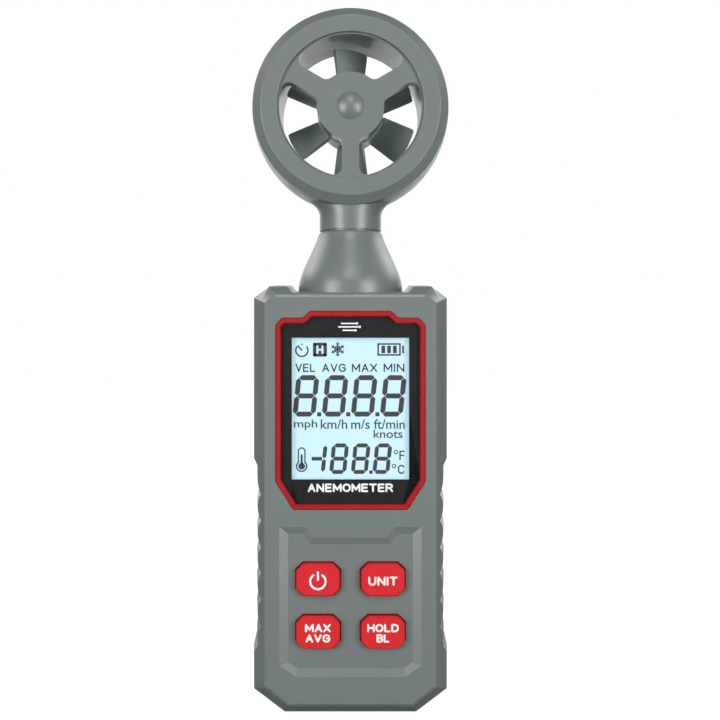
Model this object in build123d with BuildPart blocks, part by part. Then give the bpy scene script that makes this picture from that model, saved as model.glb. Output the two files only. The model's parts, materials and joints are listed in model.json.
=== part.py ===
from build123d import *
import math
import os

os.makedirs("parts", exist_ok=True)

# Hand-held vane anemometer, in millimetres.
# +Z is up, the display faces -Y, and the origin is on the flat base under the swivel axis.

# ---------------------------------------------------------------- driving dimensions
# case
body_width = 56.0
body_depth = 32.0
deck_height = 118.33          # top of the case between its corner bosses, at the front plane
deck_slope = 0.0765           # rise of the top per millimetre towards the back
boss_height = 1.67            # corner bosses above the deck
front_inset = 4.33            # the front face is narrower than the case, each side
back_inset = 5.0
bend_inset = 0.7
bevel_depth = 6.3             # depth of the bevel round the front face
top_bevel = 2.6
bottom_bevel = 3.65
parting_depth = 14.4          # joint between the two shells, behind the front face
edge_break = 0.45
front_wall = 2.4
back_wall = 3.2
cavity_inset = 1.1            # cavity outline inside the front face outline
top_wall = 1.9
lip_width = 1.2
lip_depth = 1.2
fit_gap = 0.1                 # gap round parts that drop into a pocket
running_gap = 0.05            # radial gap of a turning or sliding fit

# grip scallops on both sides
grip_bottom = 19.1
grip_top = 69.8
grip_pitch = 7.4
grip_first = 25.0             # height of the lowest valley
grip_valleys = 6
grip_inset = 3.15             # valley depth below the widest side, at the front plane
grip_wave = 0.9
grip_front_slope = 0.088
grip_rear_slope = 0.088

# display
bezel_half_width = 20.85
bezel_top = 113.2
bezel_shoulder = 111.3
bezel_bottom = 58.0
bezel_band = 1.5
bezel_round = 1.1
bezel_edge = 0.25
bezel_stand = 0.3             # the red frame stands this far proud of the face
pocket_depth = 1.4
window_thick = 1.2
mask_thick = 0.2
view_half_width = 16.35
view_bottom = 66.3
view_top = 105.8
lcd_border = 0.5
lcd_lip = 2.0
lcd_thick = 2.0
frame_wall = 0.65
backlight_thick = 1.6

# keypad
recess_depth = 0.8
key_width = 12.2
key_height = 9.05
key_corner = 2.0
key_round = 0.9
key_edge = 0.35
key_stand = 2.0               # above the recess floor
key_gap = 0.35
key_travel = 0.8
key_columns = 18.0
key_upper = 38.7
key_lower = 24.1
key_flange = 1.0
flange_thick = 0.8
plunger_radius = 3.2
mat_thick = 1.5

# electronics
board_thick = 1.6
board_half_width = 17.5
board_bottom = 7.0
board_front_gap = 4.3         # board behind the inside of the front wall
screw_radius = 1.0
screw_head_radius = 1.6
screw_head = 1.3
post_radius = 1.8
board_screw_x = 14.8
shell_screw_x = 19.8
shell_screw_low = 73.0
shell_screw_high = 108.5
pilot_depth = 6.0             # blind hole in front of each screw joint
screw_bite = 5.0              # screw length beyond its joint
head_sink = 0.5               # screw heads below the surface
head_round = 0.4
cross_length = 1.9
cross_width = 0.45
cross_depth = 0.6
chip_level = 84.0
chip_size = 10.0
chip_thick = 1.5
crystal_x = 9.5
crystal_length = 7.0
crystal_width = 3.0
crystal_thick = 2.4
socket_width = 8.0
socket_tall = 6.0
socket_depth = 4.0

# batteries and their door
battery_radius = 5.25
battery_length = 44.5
battery_nub = 0.8
battery_gap = 0.3
spring_length = 5.0
plate_thick = 0.4
bay_bottom = 12.0
bay_wall = 1.2
door_thick = 1.8
door_overlap = 1.6            # door plate beyond the bay, each side
tongue_width = 1.0
tongue_thick = 0.8
door_gap = 0.15
nub_radius = 1.9
can_round = 0.5
spring_radius = 3.0
spring_inner = 2.2
spring_taper = 6              # degrees
plate_width = 8.4
plate_depth = 8.0
ridge_count = 6               # thumb ridges on the door
ridge_pitch = 1.6
ridge_radius = 0.4
ridge_length = 14.0
ridge_inset = 8.0             # first ridge below the top of the door

# swivel and neck
neck_top = 136.6
neck_top_radius = 9.28
neck_base_radius = 15.05
spigot_radius = 7.0
spigot_bore = 5.0
neck_tail_radius = 11.0
neck_flange_radius = 12.5
neck_flange = 1.8
washer_thick = 0.6
washer_radius = 8.2
swivel_gap = 0.5
clip_thick = 0.8
clip_radius = 8.6
groove_depth = 0.6

# head
head_height = 171.6
ring_front = -11.5
ring_rear = 11.3
ring_parting = 3.0
ring_face_radius = 25.4
ring_bevel_radius = 27.8
ring_radius = 28.3
ring_bevel = 1.9
ring_bore = 20.7
throat_radius = 20.2
hoop_wall = 1.0
spider_recess = 1.0
channel_inner = 22.3
channel_outer = 26.2
channel_front = -8.3
ring_screw_circle = 23.6
stalk_radius = 8.95

# spider
hub_radius = 9.55
dome_radius = 3.97
dome_height = 1.45
lower_arm = 4.8
upper_arm = 5.4
arm_depth = 4.5
arm_fillet = 2.3
hub_rear = -0.6
hub_wall = 1.0
boss_radius = 4.0
bearing_radius = 2.5
bearing_width = 2.3
shaft_radius = 1.0

# impeller
blade_count = 6
tip_gap = 1.0
impeller_front = -0.3
impeller_rear = 8.9
impeller_hub_radius = 9.6
impeller_wall = 1.2
blade_thick = 1.0
blade_root_width = 7.0
blade_tip_width = 9.7
blade_axial = 7.5
blade_middle = 3.35
blade_corner = 1.5
lead_radius = 0.7
lead_gap = 0.3                # room round the lead in its channel
hall_board_thick = 0.8
hall_size = 3.0
hall_circle = 6.2
hall_gap = 0.3
thermistor_radius = 0.9
magnet_radius = 1.5
magnet_thick = 2.0
magnet_circle = 6.2
cap_thick = 1.0
cap_wall = 1.2
shaft_stub = 1.6              # shaft beyond the back of the impeller

# ---------------------------------------------------------------- derived values
half_width = body_width / 2
front_y = -body_depth / 2
back_y = body_depth / 2
parting_y = front_y + parting_depth
front_half_width = half_width - front_inset
back_half_width = half_width - back_inset
front_inside_y = front_y + front_wall
back_inside_y = back_y - back_wall
cavity_top = deck_height - top_wall
cavity_half_width = front_half_width - cavity_inset
board_front_y = front_inside_y + board_front_gap
board_back_y = board_front_y + board_thick
neck_flange_bottom = cavity_top - fit_gap - neck_flange
board_top = neck_flange_bottom - clip_thick - 1.4
pocket_floor_y = front_y + pocket_depth
recess_floor_y = front_y + recess_depth
stalk_bottom = neck_top + swivel_gap


def level(table, depth):
    """Read a value from (depth, value) pairs, along straight lines between them."""
    for (start, low), (end, high) in zip(table, table[1:]):
        if start <= depth <= end:
            return low + (high - low) * (depth - start) / (end - start)
    return table[-1][1]


def on_face(y):
    """A sketch plane at depth y, looked at from the front: its x and y are the model's X and Z."""
    return Plane.XZ.offset(-y)


def mirrored(points):
    """The points and their mirror images in X, as one closed outline."""
    return points + [(-x, z) for x, z in reversed(points)]


def shift(points, inset):
    """Bring each corner of an outline in by the inset, on both axes."""
    middle = (max(z for x, z in points) + min(z for x, z in points)) / 2
    moved = []
    for x, z in points:
        moved.append((x - inset * math.copysign(1, x), z - inset * math.copysign(1, z - middle)))
    return moved


def save(piece, name):
    """Label a finished piece and write it to its own file."""
    piece.part.label = name
    export_step(piece.part, "parts/" + name + ".step")


# ---------------------------------------------------------------- case outline
rear_bend = body_depth - bevel_depth - 3.3
side_levels = [
    (0, front_half_width),
    (bevel_depth, half_width - bend_inset),
    (parting_depth, half_width),
    (rear_bend, half_width - 0.1),
    (body_depth, back_half_width),
]
bottom_levels = [
    (0, bottom_bevel),
    (bevel_depth, 0),
    (body_depth - bevel_depth, 0),
    (body_depth, bottom_bevel),
]
roof_height = deck_height + boss_height
top_levels = [
    (0, roof_height - top_bevel + 0.1),
    (top_bevel, roof_height + deck_slope * top_bevel),
    (body_depth - top_bevel, roof_height + deck_slope * (body_depth - top_bevel)),
    (body_depth, roof_height + deck_slope * body_depth - top_bevel),
]
base_half_width = half_width - 9.4
base_levels = [
    (0, base_half_width - 1.3),
    (bevel_depth, base_half_width),
    (body_depth - bevel_depth, base_half_width),
    (body_depth, base_half_width - 1.3),
]
foot_levels = [(0, 8.7), (bevel_depth, 6.6), (body_depth - bevel_depth, 6.6), (body_depth, 8.7)]
boss_outer = half_width - 5.2
shoulder_levels = [
    (0, boss_outer - 2.1),
    (top_bevel, boss_outer),
    (body_depth - top_bevel, boss_outer),
    (body_depth, boss_outer - 2.1),
]
cheek_levels = [
    (0, roof_height - 4.6),
    (bevel_depth, roof_height - 2.8),
    (body_depth - bevel_depth, roof_height - 2.0),
    (body_depth, roof_height - 3.8),
]


def case_outline(depth):
    """The outer outline of the case at a depth behind its front face."""
    right = [
        (level(base_levels, depth), level(bottom_levels, depth)),
        (level(side_levels, depth), level(foot_levels, depth)),
        (level(side_levels, depth), level(cheek_levels, depth)),
        (level(shoulder_levels, depth), level(top_levels, depth)),
    ]
    return mirrored(right)


def draw(points):
    """Fill a closed outline in the current sketch."""
    Polygon(*points, align=None)


cavity_outline = shift(case_outline(0), cavity_inset)

# scalloped edge of the grip, with its valleys at x = 0
low_peak = grip_first - grip_pitch / 2
last_valley = grip_first + grip_pitch * (grip_valleys - 1)
high_peak = last_valley + grip_pitch / 2
grip_reach = 9.0
grip_slant = 2 * (grip_reach - grip_wave)
with BuildSketch() as grip_profile:
    with BuildLine():
        Polyline((grip_reach, grip_bottom - grip_slant), (grip_wave, grip_bottom), (grip_wave, low_peak))
        ThreePointArc((grip_wave, low_peak), (0.7 * grip_wave, low_peak + grip_pitch / 4), (0, grip_first))
        for i in range(grip_valleys - 1):
            z = grip_first + grip_pitch * i
            ThreePointArc((0, z), (grip_wave, z + grip_pitch / 2), (0, z + grip_pitch))
        ThreePointArc((0, last_valley), (0.7 * grip_wave, high_peak - grip_pitch / 4), (grip_wave, high_peak))
        Polyline((grip_wave, high_peak), (grip_wave, grip_top), (grip_reach, grip_top + grip_slant))
        Line((grip_reach, grip_top + grip_slant), (grip_reach, grip_bottom - grip_slant))
    make_face()

front_valley = half_width - grip_inset
parting_valley = front_valley + grip_front_slope * parting_depth

with BuildPart() as front_grip_cut:
    with BuildSketch(on_face(front_y - 1)):
        with Locations((front_valley - grip_front_slope, 0)):
            add(grip_profile.sketch)
    extrude(amount=(parting_depth + 2) * math.hypot(1, grip_front_slope), dir=(grip_front_slope, 1, 0))
    mirror(about=Plane.YZ)

with BuildPart() as rear_grip_cut:
    with BuildSketch(on_face(parting_y - 1)):
        with Locations((parting_valley - grip_rear_slope, 0)):
            add(grip_profile.sketch)
    extrude(amount=body_depth, dir=(grip_rear_slope, 1, 0))
    mirror(about=Plane.YZ)

# trough between the corner bosses, tilted with the top of the case
boss_inner = half_width - 10.35
boss_run = 1.15
with BuildPart() as deck_cut:
    with BuildSketch(on_face(front_y)):
        draw(mirrored([(boss_inner - boss_run, deck_height), (boss_inner + 5 * boss_run,
                       deck_height + 6 * boss_height)]))
    extrude(amount=(body_depth + 2) * math.hypot(1, deck_slope), dir=(0, 1, deck_slope))

# shallow facets on the upper sides
side_panel_bottom = 76.5
side_panel_top = 108.7
panel_start = 1.55
panel_dip = 0.45
panel_run = 3.4
with BuildPart() as side_panel_cut:
    with BuildSketch(Plane.XY.offset(side_panel_bottom)):
        panel_x = front_half_width + panel_start
        panel_y = front_y + bevel_depth * panel_start / (front_inset - bend_inset)
        draw([(panel_x, panel_y - 3), (panel_x, panel_y + panel_dip),
              (panel_x + panel_run, panel_y + panel_dip + 1.25 * panel_run),
              (panel_x + panel_run, panel_y - 3)])
    extrude(amount=side_panel_top - side_panel_bottom)
    mirror(about=Plane.YZ)

# ---------------------------------------------------------------- case solids
front_depths = [0, top_bevel, bevel_depth, parting_depth]
rear_depths = [parting_depth, rear_bend, body_depth - bevel_depth, body_depth - top_bevel, body_depth]

with BuildPart() as front_hull:
    for depth in front_depths:
        with BuildSketch(on_face(front_y + depth)):
            draw(case_outline(depth))
    loft(ruled=True)

with BuildPart() as rear_hull:
    for depth in rear_depths:
        with BuildSketch(on_face(front_y + depth)):
            draw(case_outline(depth))
    loft(ruled=True)

neck_axis = Axis((0, 0, 0), (0, 0, 1))
spin_axis = Axis((0, 0, head_height), (0, 1, 0))
shell_posts = [(x, z) for x in (-shell_screw_x, shell_screw_x) for z in (shell_screw_low, shell_screw_high)]
key_places = {
    "power": (-key_columns / 2, key_upper),
    "unit": (key_columns / 2, key_upper),
    "max_avg": (-key_columns / 2, key_lower),
    "hold": (key_columns / 2, key_lower),
}
bezel_right = [
    (bezel_half_width - 4.95, bezel_bottom),
    (bezel_half_width, bezel_bottom + 7.8),
    (bezel_half_width, bezel_shoulder - 1.9),
    (bezel_half_width - 1.9, bezel_shoulder),
    (bezel_half_width - 7.6, bezel_shoulder),
    (bezel_half_width - 9.55, bezel_top),
]
bezel_outline = mirrored(bezel_right)
recess_right = [
    (bezel_half_width - 5.8, 11.5),
    (bezel_half_width - 1.1, 14.7),
    (bezel_half_width - 1.1, 53.2),
    (bezel_half_width - 8.75, 53.2),
    (bezel_half_width - 10.65, 50.3),
]
recess_floor_right = [
    (bezel_half_width - 6.05, 13.7),
    (bezel_half_width - 3.45, 15.4),
    (bezel_half_width - 3.45, 51.2),
    (bezel_half_width - 7.55, 51.2),
    (bezel_half_width - 9.65, 48.3),
]


def key_outline(margin):
    """Octagon of a key, grown by a margin all round."""
    w = key_width / 2 + margin
    h = key_height / 2 + margin
    c = key_corner + margin * 0.586
    return [(w - c, -h), (w, c - h), (w, h - c), (w - c, h), (c - w, h), (-w, h - c), (-w, c - h), (c - w, -h)]


# ---------------------------------------------------------------- front shell
window_opening_z = (view_bottom + view_top) / 2
board_posts = [(x, z) for x in (-board_screw_x, board_screw_x)
               for z in (board_bottom + 3.5, key_upper + 17.0, board_top - post_radius)]
lcd_half_width = view_half_width + lcd_border
lcd_bottom = view_bottom - lcd_lip
lcd_top = view_top + lcd_lip

with BuildPart() as front_shell:
    add(front_hull.part)
    chamfer(front_shell.faces().sort_by(Axis.Y)[0].edges(), length=edge_break)
    with BuildSketch(on_face(parting_y)):
        draw(cavity_outline)
    extrude(amount=parting_depth - front_wall, mode=Mode.SUBTRACT)
    add(front_grip_cut.part, mode=Mode.SUBTRACT)
    add(deck_cut.part, mode=Mode.SUBTRACT)
    add(side_panel_cut.part, mode=Mode.SUBTRACT)
    # bezel pocket and the opening over the display
    with BuildSketch(on_face(pocket_floor_y)) as pocket:
        draw(bezel_outline)
        fillet(pocket.vertices(), radius=bezel_round)
        offset(amount=fit_gap)
    extrude(amount=pocket_depth + 1, mode=Mode.SUBTRACT)
    with BuildSketch(on_face(front_inside_y + 1)):
        with Locations((0, window_opening_z)):
            Rectangle(2 * lcd_half_width, view_top - view_bottom + 2)
    extrude(amount=front_wall + 2, mode=Mode.SUBTRACT)
    # key recess with sloped walls
    with BuildSketch(on_face(front_y)):
        draw(mirrored(recess_right))
    with BuildSketch(on_face(recess_floor_y)):
        draw(mirrored(recess_floor_right))
    loft(ruled=True, mode=Mode.SUBTRACT)
    with BuildSketch(on_face(front_inside_y + 1)):
        with Locations(*key_places.values()):
            Polygon(*key_outline(key_gap), align=None)
    extrude(amount=front_wall + 2, mode=Mode.SUBTRACT)
    # posts for the board screws and the shell screws
    with BuildSketch(on_face(board_front_y)):
        with Locations(*board_posts):
            Circle(post_radius)
    extrude(amount=board_front_gap)
    with BuildSketch(on_face(parting_y)):
        with Locations(*shell_posts):
            Circle(post_radius + 0.1)
    extrude(amount=parting_depth - front_wall)
    with BuildSketch(on_face(board_front_y)):
        with Locations(*board_posts):
            Circle(screw_radius)
    extrude(amount=board_front_gap, mode=Mode.SUBTRACT)
    with BuildSketch(on_face(parting_y)):
        with Locations(*shell_posts):
            Circle(screw_radius)
    extrude(amount=pilot_depth, mode=Mode.SUBTRACT)
    # locating lip that reaches into the rear shell
    with BuildSketch(on_face(parting_y + lip_depth)):
        draw(shift(cavity_outline, -lip_width))
        Polygon(*cavity_outline, align=None, mode=Mode.SUBTRACT)
    extrude(amount=lip_depth)
    # hole for the neck
    with BuildSketch(Plane.XY.offset(cavity_top - 3)):
        Circle(neck_tail_radius + fit_gap)
    extrude(amount=20, mode=Mode.SUBTRACT)
save(front_shell, "front_shell")

# ---------------------------------------------------------------- rear shell
bay_half_width = 3 * battery_radius + 2 * battery_gap
bay_top = bay_bottom + battery_length + spring_length + 2 * plate_thick
door_inside_y = back_y - door_thick
battery_y = door_inside_y - battery_gap - battery_radius
bay_floor_y = battery_y - battery_radius - battery_gap / 2
door_half_width = bay_half_width + door_overlap
door_top = bay_top + 3.0

with BuildPart() as rear_shell:
    add(rear_hull.part)
    with BuildSketch(on_face(back_inside_y)):
        draw(cavity_outline)
    extrude(amount=back_inside_y - parting_y, mode=Mode.SUBTRACT)
    with BuildSketch(on_face(parting_y + lip_depth + fit_gap)):
        draw(shift(cavity_outline, -lip_width - fit_gap))
    extrude(amount=lip_depth + fit_gap, mode=Mode.SUBTRACT)
    # tub that holds the batteries
    with BuildSketch(on_face(back_inside_y)):
        with Locations((0, (bay_bottom + bay_top) / 2)):
            Rectangle(2 * (bay_half_width + bay_wall), bay_top - bay_bottom + 2 * bay_wall)
    extrude(amount=back_inside_y - bay_floor_y + bay_wall)
    with BuildSketch(on_face(parting_y + lip_depth + fit_gap)):
        with Locations(*shell_posts):
            Circle(post_radius + 0.1)
    extrude(amount=parting_y + lip_depth + fit_gap - back_inside_y)
    add(rear_grip_cut.part, mode=Mode.SUBTRACT)
    add(deck_cut.part, mode=Mode.SUBTRACT)
    with BuildSketch(on_face(back_y + 1)):
        with Locations((0, (bay_bottom + bay_top) / 2)):
            Rectangle(2 * bay_half_width, bay_top - bay_bottom)
    extrude(amount=back_y + 1 - bay_floor_y, mode=Mode.SUBTRACT)
    # channel for the sliding door, open at the bottom
    with BuildSketch(on_face(back_y + 1)):
        with Locations((0, door_top + door_gap)):
            Rectangle(2 * (door_half_width + door_gap), door_top + 10, align=(Align.CENTER, Align.MAX))
    extrude(amount=door_thick + 1, mode=Mode.SUBTRACT)
    with BuildSketch(on_face(door_inside_y + tongue_thick + door_gap)):
        with Locations((0, door_top + door_gap)):
            Rectangle(2 * (door_half_width + tongue_width + door_gap), door_top + 10,
                      align=(Align.CENTER, Align.MAX))
    extrude(amount=tongue_thick + door_gap, mode=Mode.SUBTRACT)
    # shell screw holes with sunk heads
    with BuildSketch(on_face(back_y)):
        with Locations(*shell_posts):
            Circle(screw_radius + fit_gap)
    extrude(amount=back_y - parting_y, mode=Mode.SUBTRACT)
    with BuildSketch(on_face(back_y)):
        with Locations(*shell_posts):
            Circle(screw_head_radius + fit_gap)
    extrude(amount=screw_head + head_sink, mode=Mode.SUBTRACT)
    with BuildSketch(Plane.XY.offset(cavity_top - 3)):
        Circle(neck_tail_radius + fit_gap)
    extrude(amount=20, mode=Mode.SUBTRACT)
save(rear_shell, "rear_shell")

# ---------------------------------------------------------------- battery door, batteries, contacts
with BuildPart() as battery_door:
    with BuildSketch(on_face(back_y)):
        with Locations((0, door_top)):
            Rectangle(2 * door_half_width, door_top, align=(Align.CENTER, Align.MAX))
    extrude(amount=door_thick)
    with BuildSketch(on_face(door_inside_y + tongue_thick)):
        with Locations((0, door_top)):
            Rectangle(2 * (door_half_width + tongue_width), door_top, align=(Align.CENTER, Align.MAX))
    extrude(amount=tongue_thick)
    add(rear_hull.part, mode=Mode.INTERSECT)
    # grip ridges for the thumb
    with BuildSketch(Plane.YZ.offset(-ridge_length / 2)):
        with Locations(*[(back_y, door_top - ridge_inset - ridge_pitch * i) for i in range(ridge_count)]):
            Circle(ridge_radius)
    extrude(amount=ridge_length, mode=Mode.SUBTRACT)
save(battery_door, "battery_door")

battery_pitch = 2 * battery_radius + battery_gap * 0.6
for number, direction in ((1, 1), (2, -1), (3, 1)):
    can_low = bay_bottom + plate_thick + (spring_length if direction > 0 else battery_nub)
    can_high = can_low + battery_length - battery_nub
    nub_low = can_high if direction > 0 else can_low - battery_nub
    with BuildPart() as battery:
        with BuildSketch(Plane.XY.offset(can_low)):
            with Locations(((number - 2) * battery_pitch, battery_y)):
                Circle(battery_radius)
        extrude(amount=can_high - can_low)
        fillet(battery.edges().filter_by(GeomType.CIRCLE), radius=can_round)
        with BuildSketch(Plane.XY.offset(nub_low)):
            with Locations(((number - 2) * battery_pitch, battery_y)):
                Circle(nub_radius)
        extrude(amount=battery_nub)
    save(battery, "battery_" + str(number))

with BuildPart() as contact_plates:
    for low in (bay_bottom, bay_top - plate_thick):
        with BuildSketch(Plane.XY.offset(low)):
            with Locations(*[(i * battery_pitch, battery_y) for i in (-1, 0, 1)]):
                Rectangle(plate_width, plate_depth)
        extrude(amount=plate_thick)
save(contact_plates, "contact_plates")

with BuildPart() as contact_springs:
    for column, upward in ((-1, True), (0, False), (1, True)):
        base_z = bay_bottom + plate_thick if upward else bay_top - plate_thick
        with BuildSketch(Plane.XY.offset(base_z)):
            with Locations((column * battery_pitch, battery_y)):
                Circle(spring_radius)
                Circle(spring_inner, mode=Mode.SUBTRACT)
        extrude(amount=spring_length if upward else -spring_length, taper=spring_taper)
save(contact_springs, "contact_springs")

# ---------------------------------------------------------------- bezel, window, display
def bezel_opening(gap):
    """The opening of the bezel, smaller by a gap all round, with its corners rounded."""
    with BuildSketch() as opening:
        draw(bezel_outline)
        offset(amount=-bezel_band - gap, kind=Kind.INTERSECTION, mode=Mode.REPLACE)
        fillet(opening.vertices(), radius=bezel_round / 2)
    return opening.sketch


with BuildPart() as bezel_frame:
    with BuildSketch(on_face(pocket_floor_y)) as bezel:
        draw(bezel_outline)
        fillet(bezel.vertices(), radius=bezel_round)
        add(bezel_opening(0), mode=Mode.SUBTRACT)
    extrude(amount=pocket_depth + bezel_stand)
    chamfer(bezel_frame.faces().sort_by(Axis.Y)[0].edges(), length=bezel_edge)
save(bezel_frame, "bezel_frame")

with BuildPart() as display_window:
    with BuildSketch(on_face(pocket_floor_y - mask_thick)):
        add(bezel_opening(fit_gap / 2))
    extrude(amount=window_thick)
save(display_window, "display_window")

with BuildPart() as window_mask:
    with BuildSketch(on_face(pocket_floor_y)):
        add(bezel_opening(fit_gap / 2))
        with Locations((0, window_opening_z)):
            Rectangle(2 * view_half_width, view_top - view_bottom, mode=Mode.SUBTRACT)
    extrude(amount=mask_thick)
save(window_mask, "window_mask")

lcd_front_y = front_inside_y + fit_gap
lcd_back_y = lcd_front_y + lcd_thick
with BuildPart() as lcd_panel:
    with BuildSketch(on_face(lcd_back_y)):
        with Locations((0, (lcd_bottom + lcd_top) / 2)):
            Rectangle(2 * lcd_half_width, lcd_top - lcd_bottom)
    extrude(amount=lcd_thick)
save(lcd_panel, "lcd_panel")

with BuildPart() as backlight:
    with BuildSketch(on_face(lcd_back_y + backlight_thick)):
        with Locations((0, (lcd_bottom + lcd_top) / 2)):
            Rectangle(2 * lcd_half_width, lcd_top - lcd_bottom - 2 * lcd_lip)
    extrude(amount=backlight_thick)
save(backlight, "backlight")

with BuildPart() as lcd_frame:
    with BuildSketch(on_face(board_front_y)):
        with Locations((0, (lcd_bottom + lcd_top) / 2)):
            Rectangle(2 * (lcd_half_width + frame_wall), lcd_top - lcd_bottom + 2 * frame_wall)
            Rectangle(2 * lcd_half_width, lcd_top - lcd_bottom, mode=Mode.SUBTRACT)
    extrude(amount=board_front_y - lcd_front_y)
save(lcd_frame, "lcd_frame")

with BuildPart() as contact_strip:
    with BuildSketch(on_face(board_front_y)):
        with Locations((0, lcd_bottom + lcd_lip / 2)):
            Rectangle(2 * lcd_half_width - 2, lcd_lip - 0.4)
    extrude(amount=board_front_y - lcd_back_y)
save(contact_strip, "contact_strip")

# ---------------------------------------------------------------- circuit board
with BuildPart() as main_board:
    with BuildSketch(on_face(board_back_y)):
        with Locations((0, (board_bottom + board_top) / 2)):
            RectangleRounded(2 * board_half_width, board_top - board_bottom, 1.5)
        with Locations(*board_posts):
            Circle(screw_radius + fit_gap, mode=Mode.SUBTRACT)
    extrude(amount=board_thick)
save(main_board, "main_board")

with BuildPart() as controller_chip:
    with BuildSketch(on_face(board_back_y)):
        with Locations((0, chip_level)):
            Rectangle(chip_size, chip_size)
    extrude(amount=-chip_thick)
    chamfer(controller_chip.faces().sort_by(Axis.Y)[-1].edges(), length=0.3)
save(controller_chip, "controller_chip")

with BuildPart() as crystal:
    with BuildSketch(on_face(board_back_y)):
        with Locations((crystal_x, chip_level)):
            SlotOverall(crystal_length, crystal_width, rotation=90)
    extrude(amount=-crystal_thick)
save(crystal, "crystal")

lead_entry_y = board_back_y + socket_depth / 2
socket_top = board_top - 8
with BuildPart() as lead_socket:
    with BuildSketch(on_face(board_back_y)):
        with Locations((0, socket_top - socket_tall / 2)):
            Rectangle(socket_width, socket_tall)
    extrude(amount=-socket_depth)
save(lead_socket, "lead_socket")

with BuildPart() as board_screws:
    with BuildSketch(on_face(board_back_y)):
        with Locations(*board_posts):
            Circle(screw_radius)
    extrude(amount=board_thick + board_front_gap - 0.6)
    with BuildSketch(on_face(board_back_y)):
        with Locations(*board_posts):
            Circle(screw_head_radius)
    extrude(amount=-screw_head)
    fillet(board_screws.faces().group_by(Axis.Y)[-1].edges(), radius=head_round)
save(board_screws, "board_screws")

screw_seat_y = back_y - screw_head - head_sink
with BuildPart() as shell_screws:
    with BuildSketch(on_face(screw_seat_y)):
        with Locations(*shell_posts):
            Circle(screw_radius)
    extrude(amount=screw_seat_y - parting_y + screw_bite)
    with BuildSketch(on_face(screw_seat_y)):
        with Locations(*shell_posts):
            Circle(screw_head_radius)
    extrude(amount=-screw_head)
    fillet(shell_screws.faces().group_by(Axis.Y)[-1].edges(), radius=head_round)
    with BuildSketch(on_face(screw_seat_y + screw_head)):
        with Locations(*shell_posts):
            Rectangle(cross_length, cross_width)
            Rectangle(cross_width, cross_length)
    extrude(amount=cross_depth, mode=Mode.SUBTRACT)
save(shell_screws, "shell_screws")

# ---------------------------------------------------------------- keys
key_front_y = recess_floor_y - key_stand
flange_front_y = front_inside_y + fit_gap
flange_back_y = flange_front_y + flange_thick
plunger_end_y = board_front_y - key_travel - 0.1

with BuildPart() as keypad_mat:
    with BuildSketch(on_face(board_front_y)):
        with Locations((0, (key_upper + key_lower) / 2)):
            Rectangle(2 * board_half_width, key_upper - key_lower + key_height + 2.6)
        with Locations(*key_places.values()):
            Circle(plunger_radius + 1.0, mode=Mode.SUBTRACT)
    extrude(amount=mat_thick)
save(keypad_mat, "keypad_mat")

for key_name, place in key_places.items():
    with BuildPart() as key:
        with BuildSketch(on_face(flange_front_y)):
            with Locations(place):
                Polygon(*key_outline(0), align=None)
        extrude(amount=flange_front_y - key_front_y)
        fillet(key.edges().filter_by(Axis.Y), radius=key_round)
        chamfer(key.faces().sort_by(Axis.Y)[0].edges(), length=key_edge)
        with BuildSketch(on_face(flange_back_y)):
            with Locations(place):
                Polygon(*key_outline(key_flange), align=None)
        extrude(amount=flange_thick)
    save(key, key_name + "_key")
    with BuildPart() as plunger:
        with BuildSketch(on_face(plunger_end_y)):
            with Locations(place):
                Circle(plunger_radius)
        extrude(amount=plunger_end_y - flange_back_y)
    save(plunger, key_name + "_plunger")

# ---------------------------------------------------------------- neck and swivel
with BuildPart() as neck_collar:
    with BuildSketch(Plane.XZ):
        with BuildLine():
            Line((0, cavity_top), (neck_base_radius, cavity_top))
            Line((neck_base_radius, cavity_top), (neck_base_radius, neck_top - 16.6))
            Spline((neck_base_radius, neck_top - 16.6), (neck_base_radius - 0.75, neck_top - 12.5),
                   (neck_base_radius - 2.75, neck_top - 7.8), (neck_base_radius - 4.85, neck_top - 3.15),
                   (neck_top_radius, neck_top - 0.5), tangents=((0, 1), (-0.25, 1)))
            Line((neck_top_radius, neck_top - 0.5), (neck_top_radius - 0.5, neck_top))
            Line((neck_top_radius - 0.5, neck_top), (0, neck_top))
            Line((0, neck_top), (0, cavity_top))
        make_face()
    revolve(axis=neck_axis)
    # the base follows the sloping top of the case
    with BuildSketch(on_face(front_y - 2)):
        draw(mirrored([(body_width, deck_height - 2 * deck_slope), (body_width, 0)]))
    extrude(amount=(body_depth + 4) * math.hypot(1, deck_slope), dir=(0, 1, deck_slope), mode=Mode.SUBTRACT)
    with BuildSketch(Plane.XY.offset(neck_flange_bottom)):
        Circle(neck_tail_radius)
    extrude(amount=deck_height + 3 - neck_flange_bottom)
    with BuildSketch(Plane.XY.offset(neck_flange_bottom)):
        Circle(neck_flange_radius)
    extrude(amount=neck_flange)
    with BuildSketch(Plane.XY.offset(neck_flange_bottom - 1)):
        Circle(spigot_radius + running_gap)
    extrude(amount=neck_top - neck_flange_bottom + 2, mode=Mode.SUBTRACT)
    with BuildSketch(Plane.XY.offset(neck_top - washer_thick)):
        Circle(washer_radius + running_gap)
    extrude(amount=washer_thick, mode=Mode.SUBTRACT)
save(neck_collar, "neck_collar")

with BuildPart() as swivel_washer:
    with BuildSketch(Plane.XY.offset(neck_top - washer_thick)):
        Circle(washer_radius)
        Circle(spigot_radius + running_gap, mode=Mode.SUBTRACT)
    extrude(amount=washer_thick)
save(swivel_washer, "swivel_washer")

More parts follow.
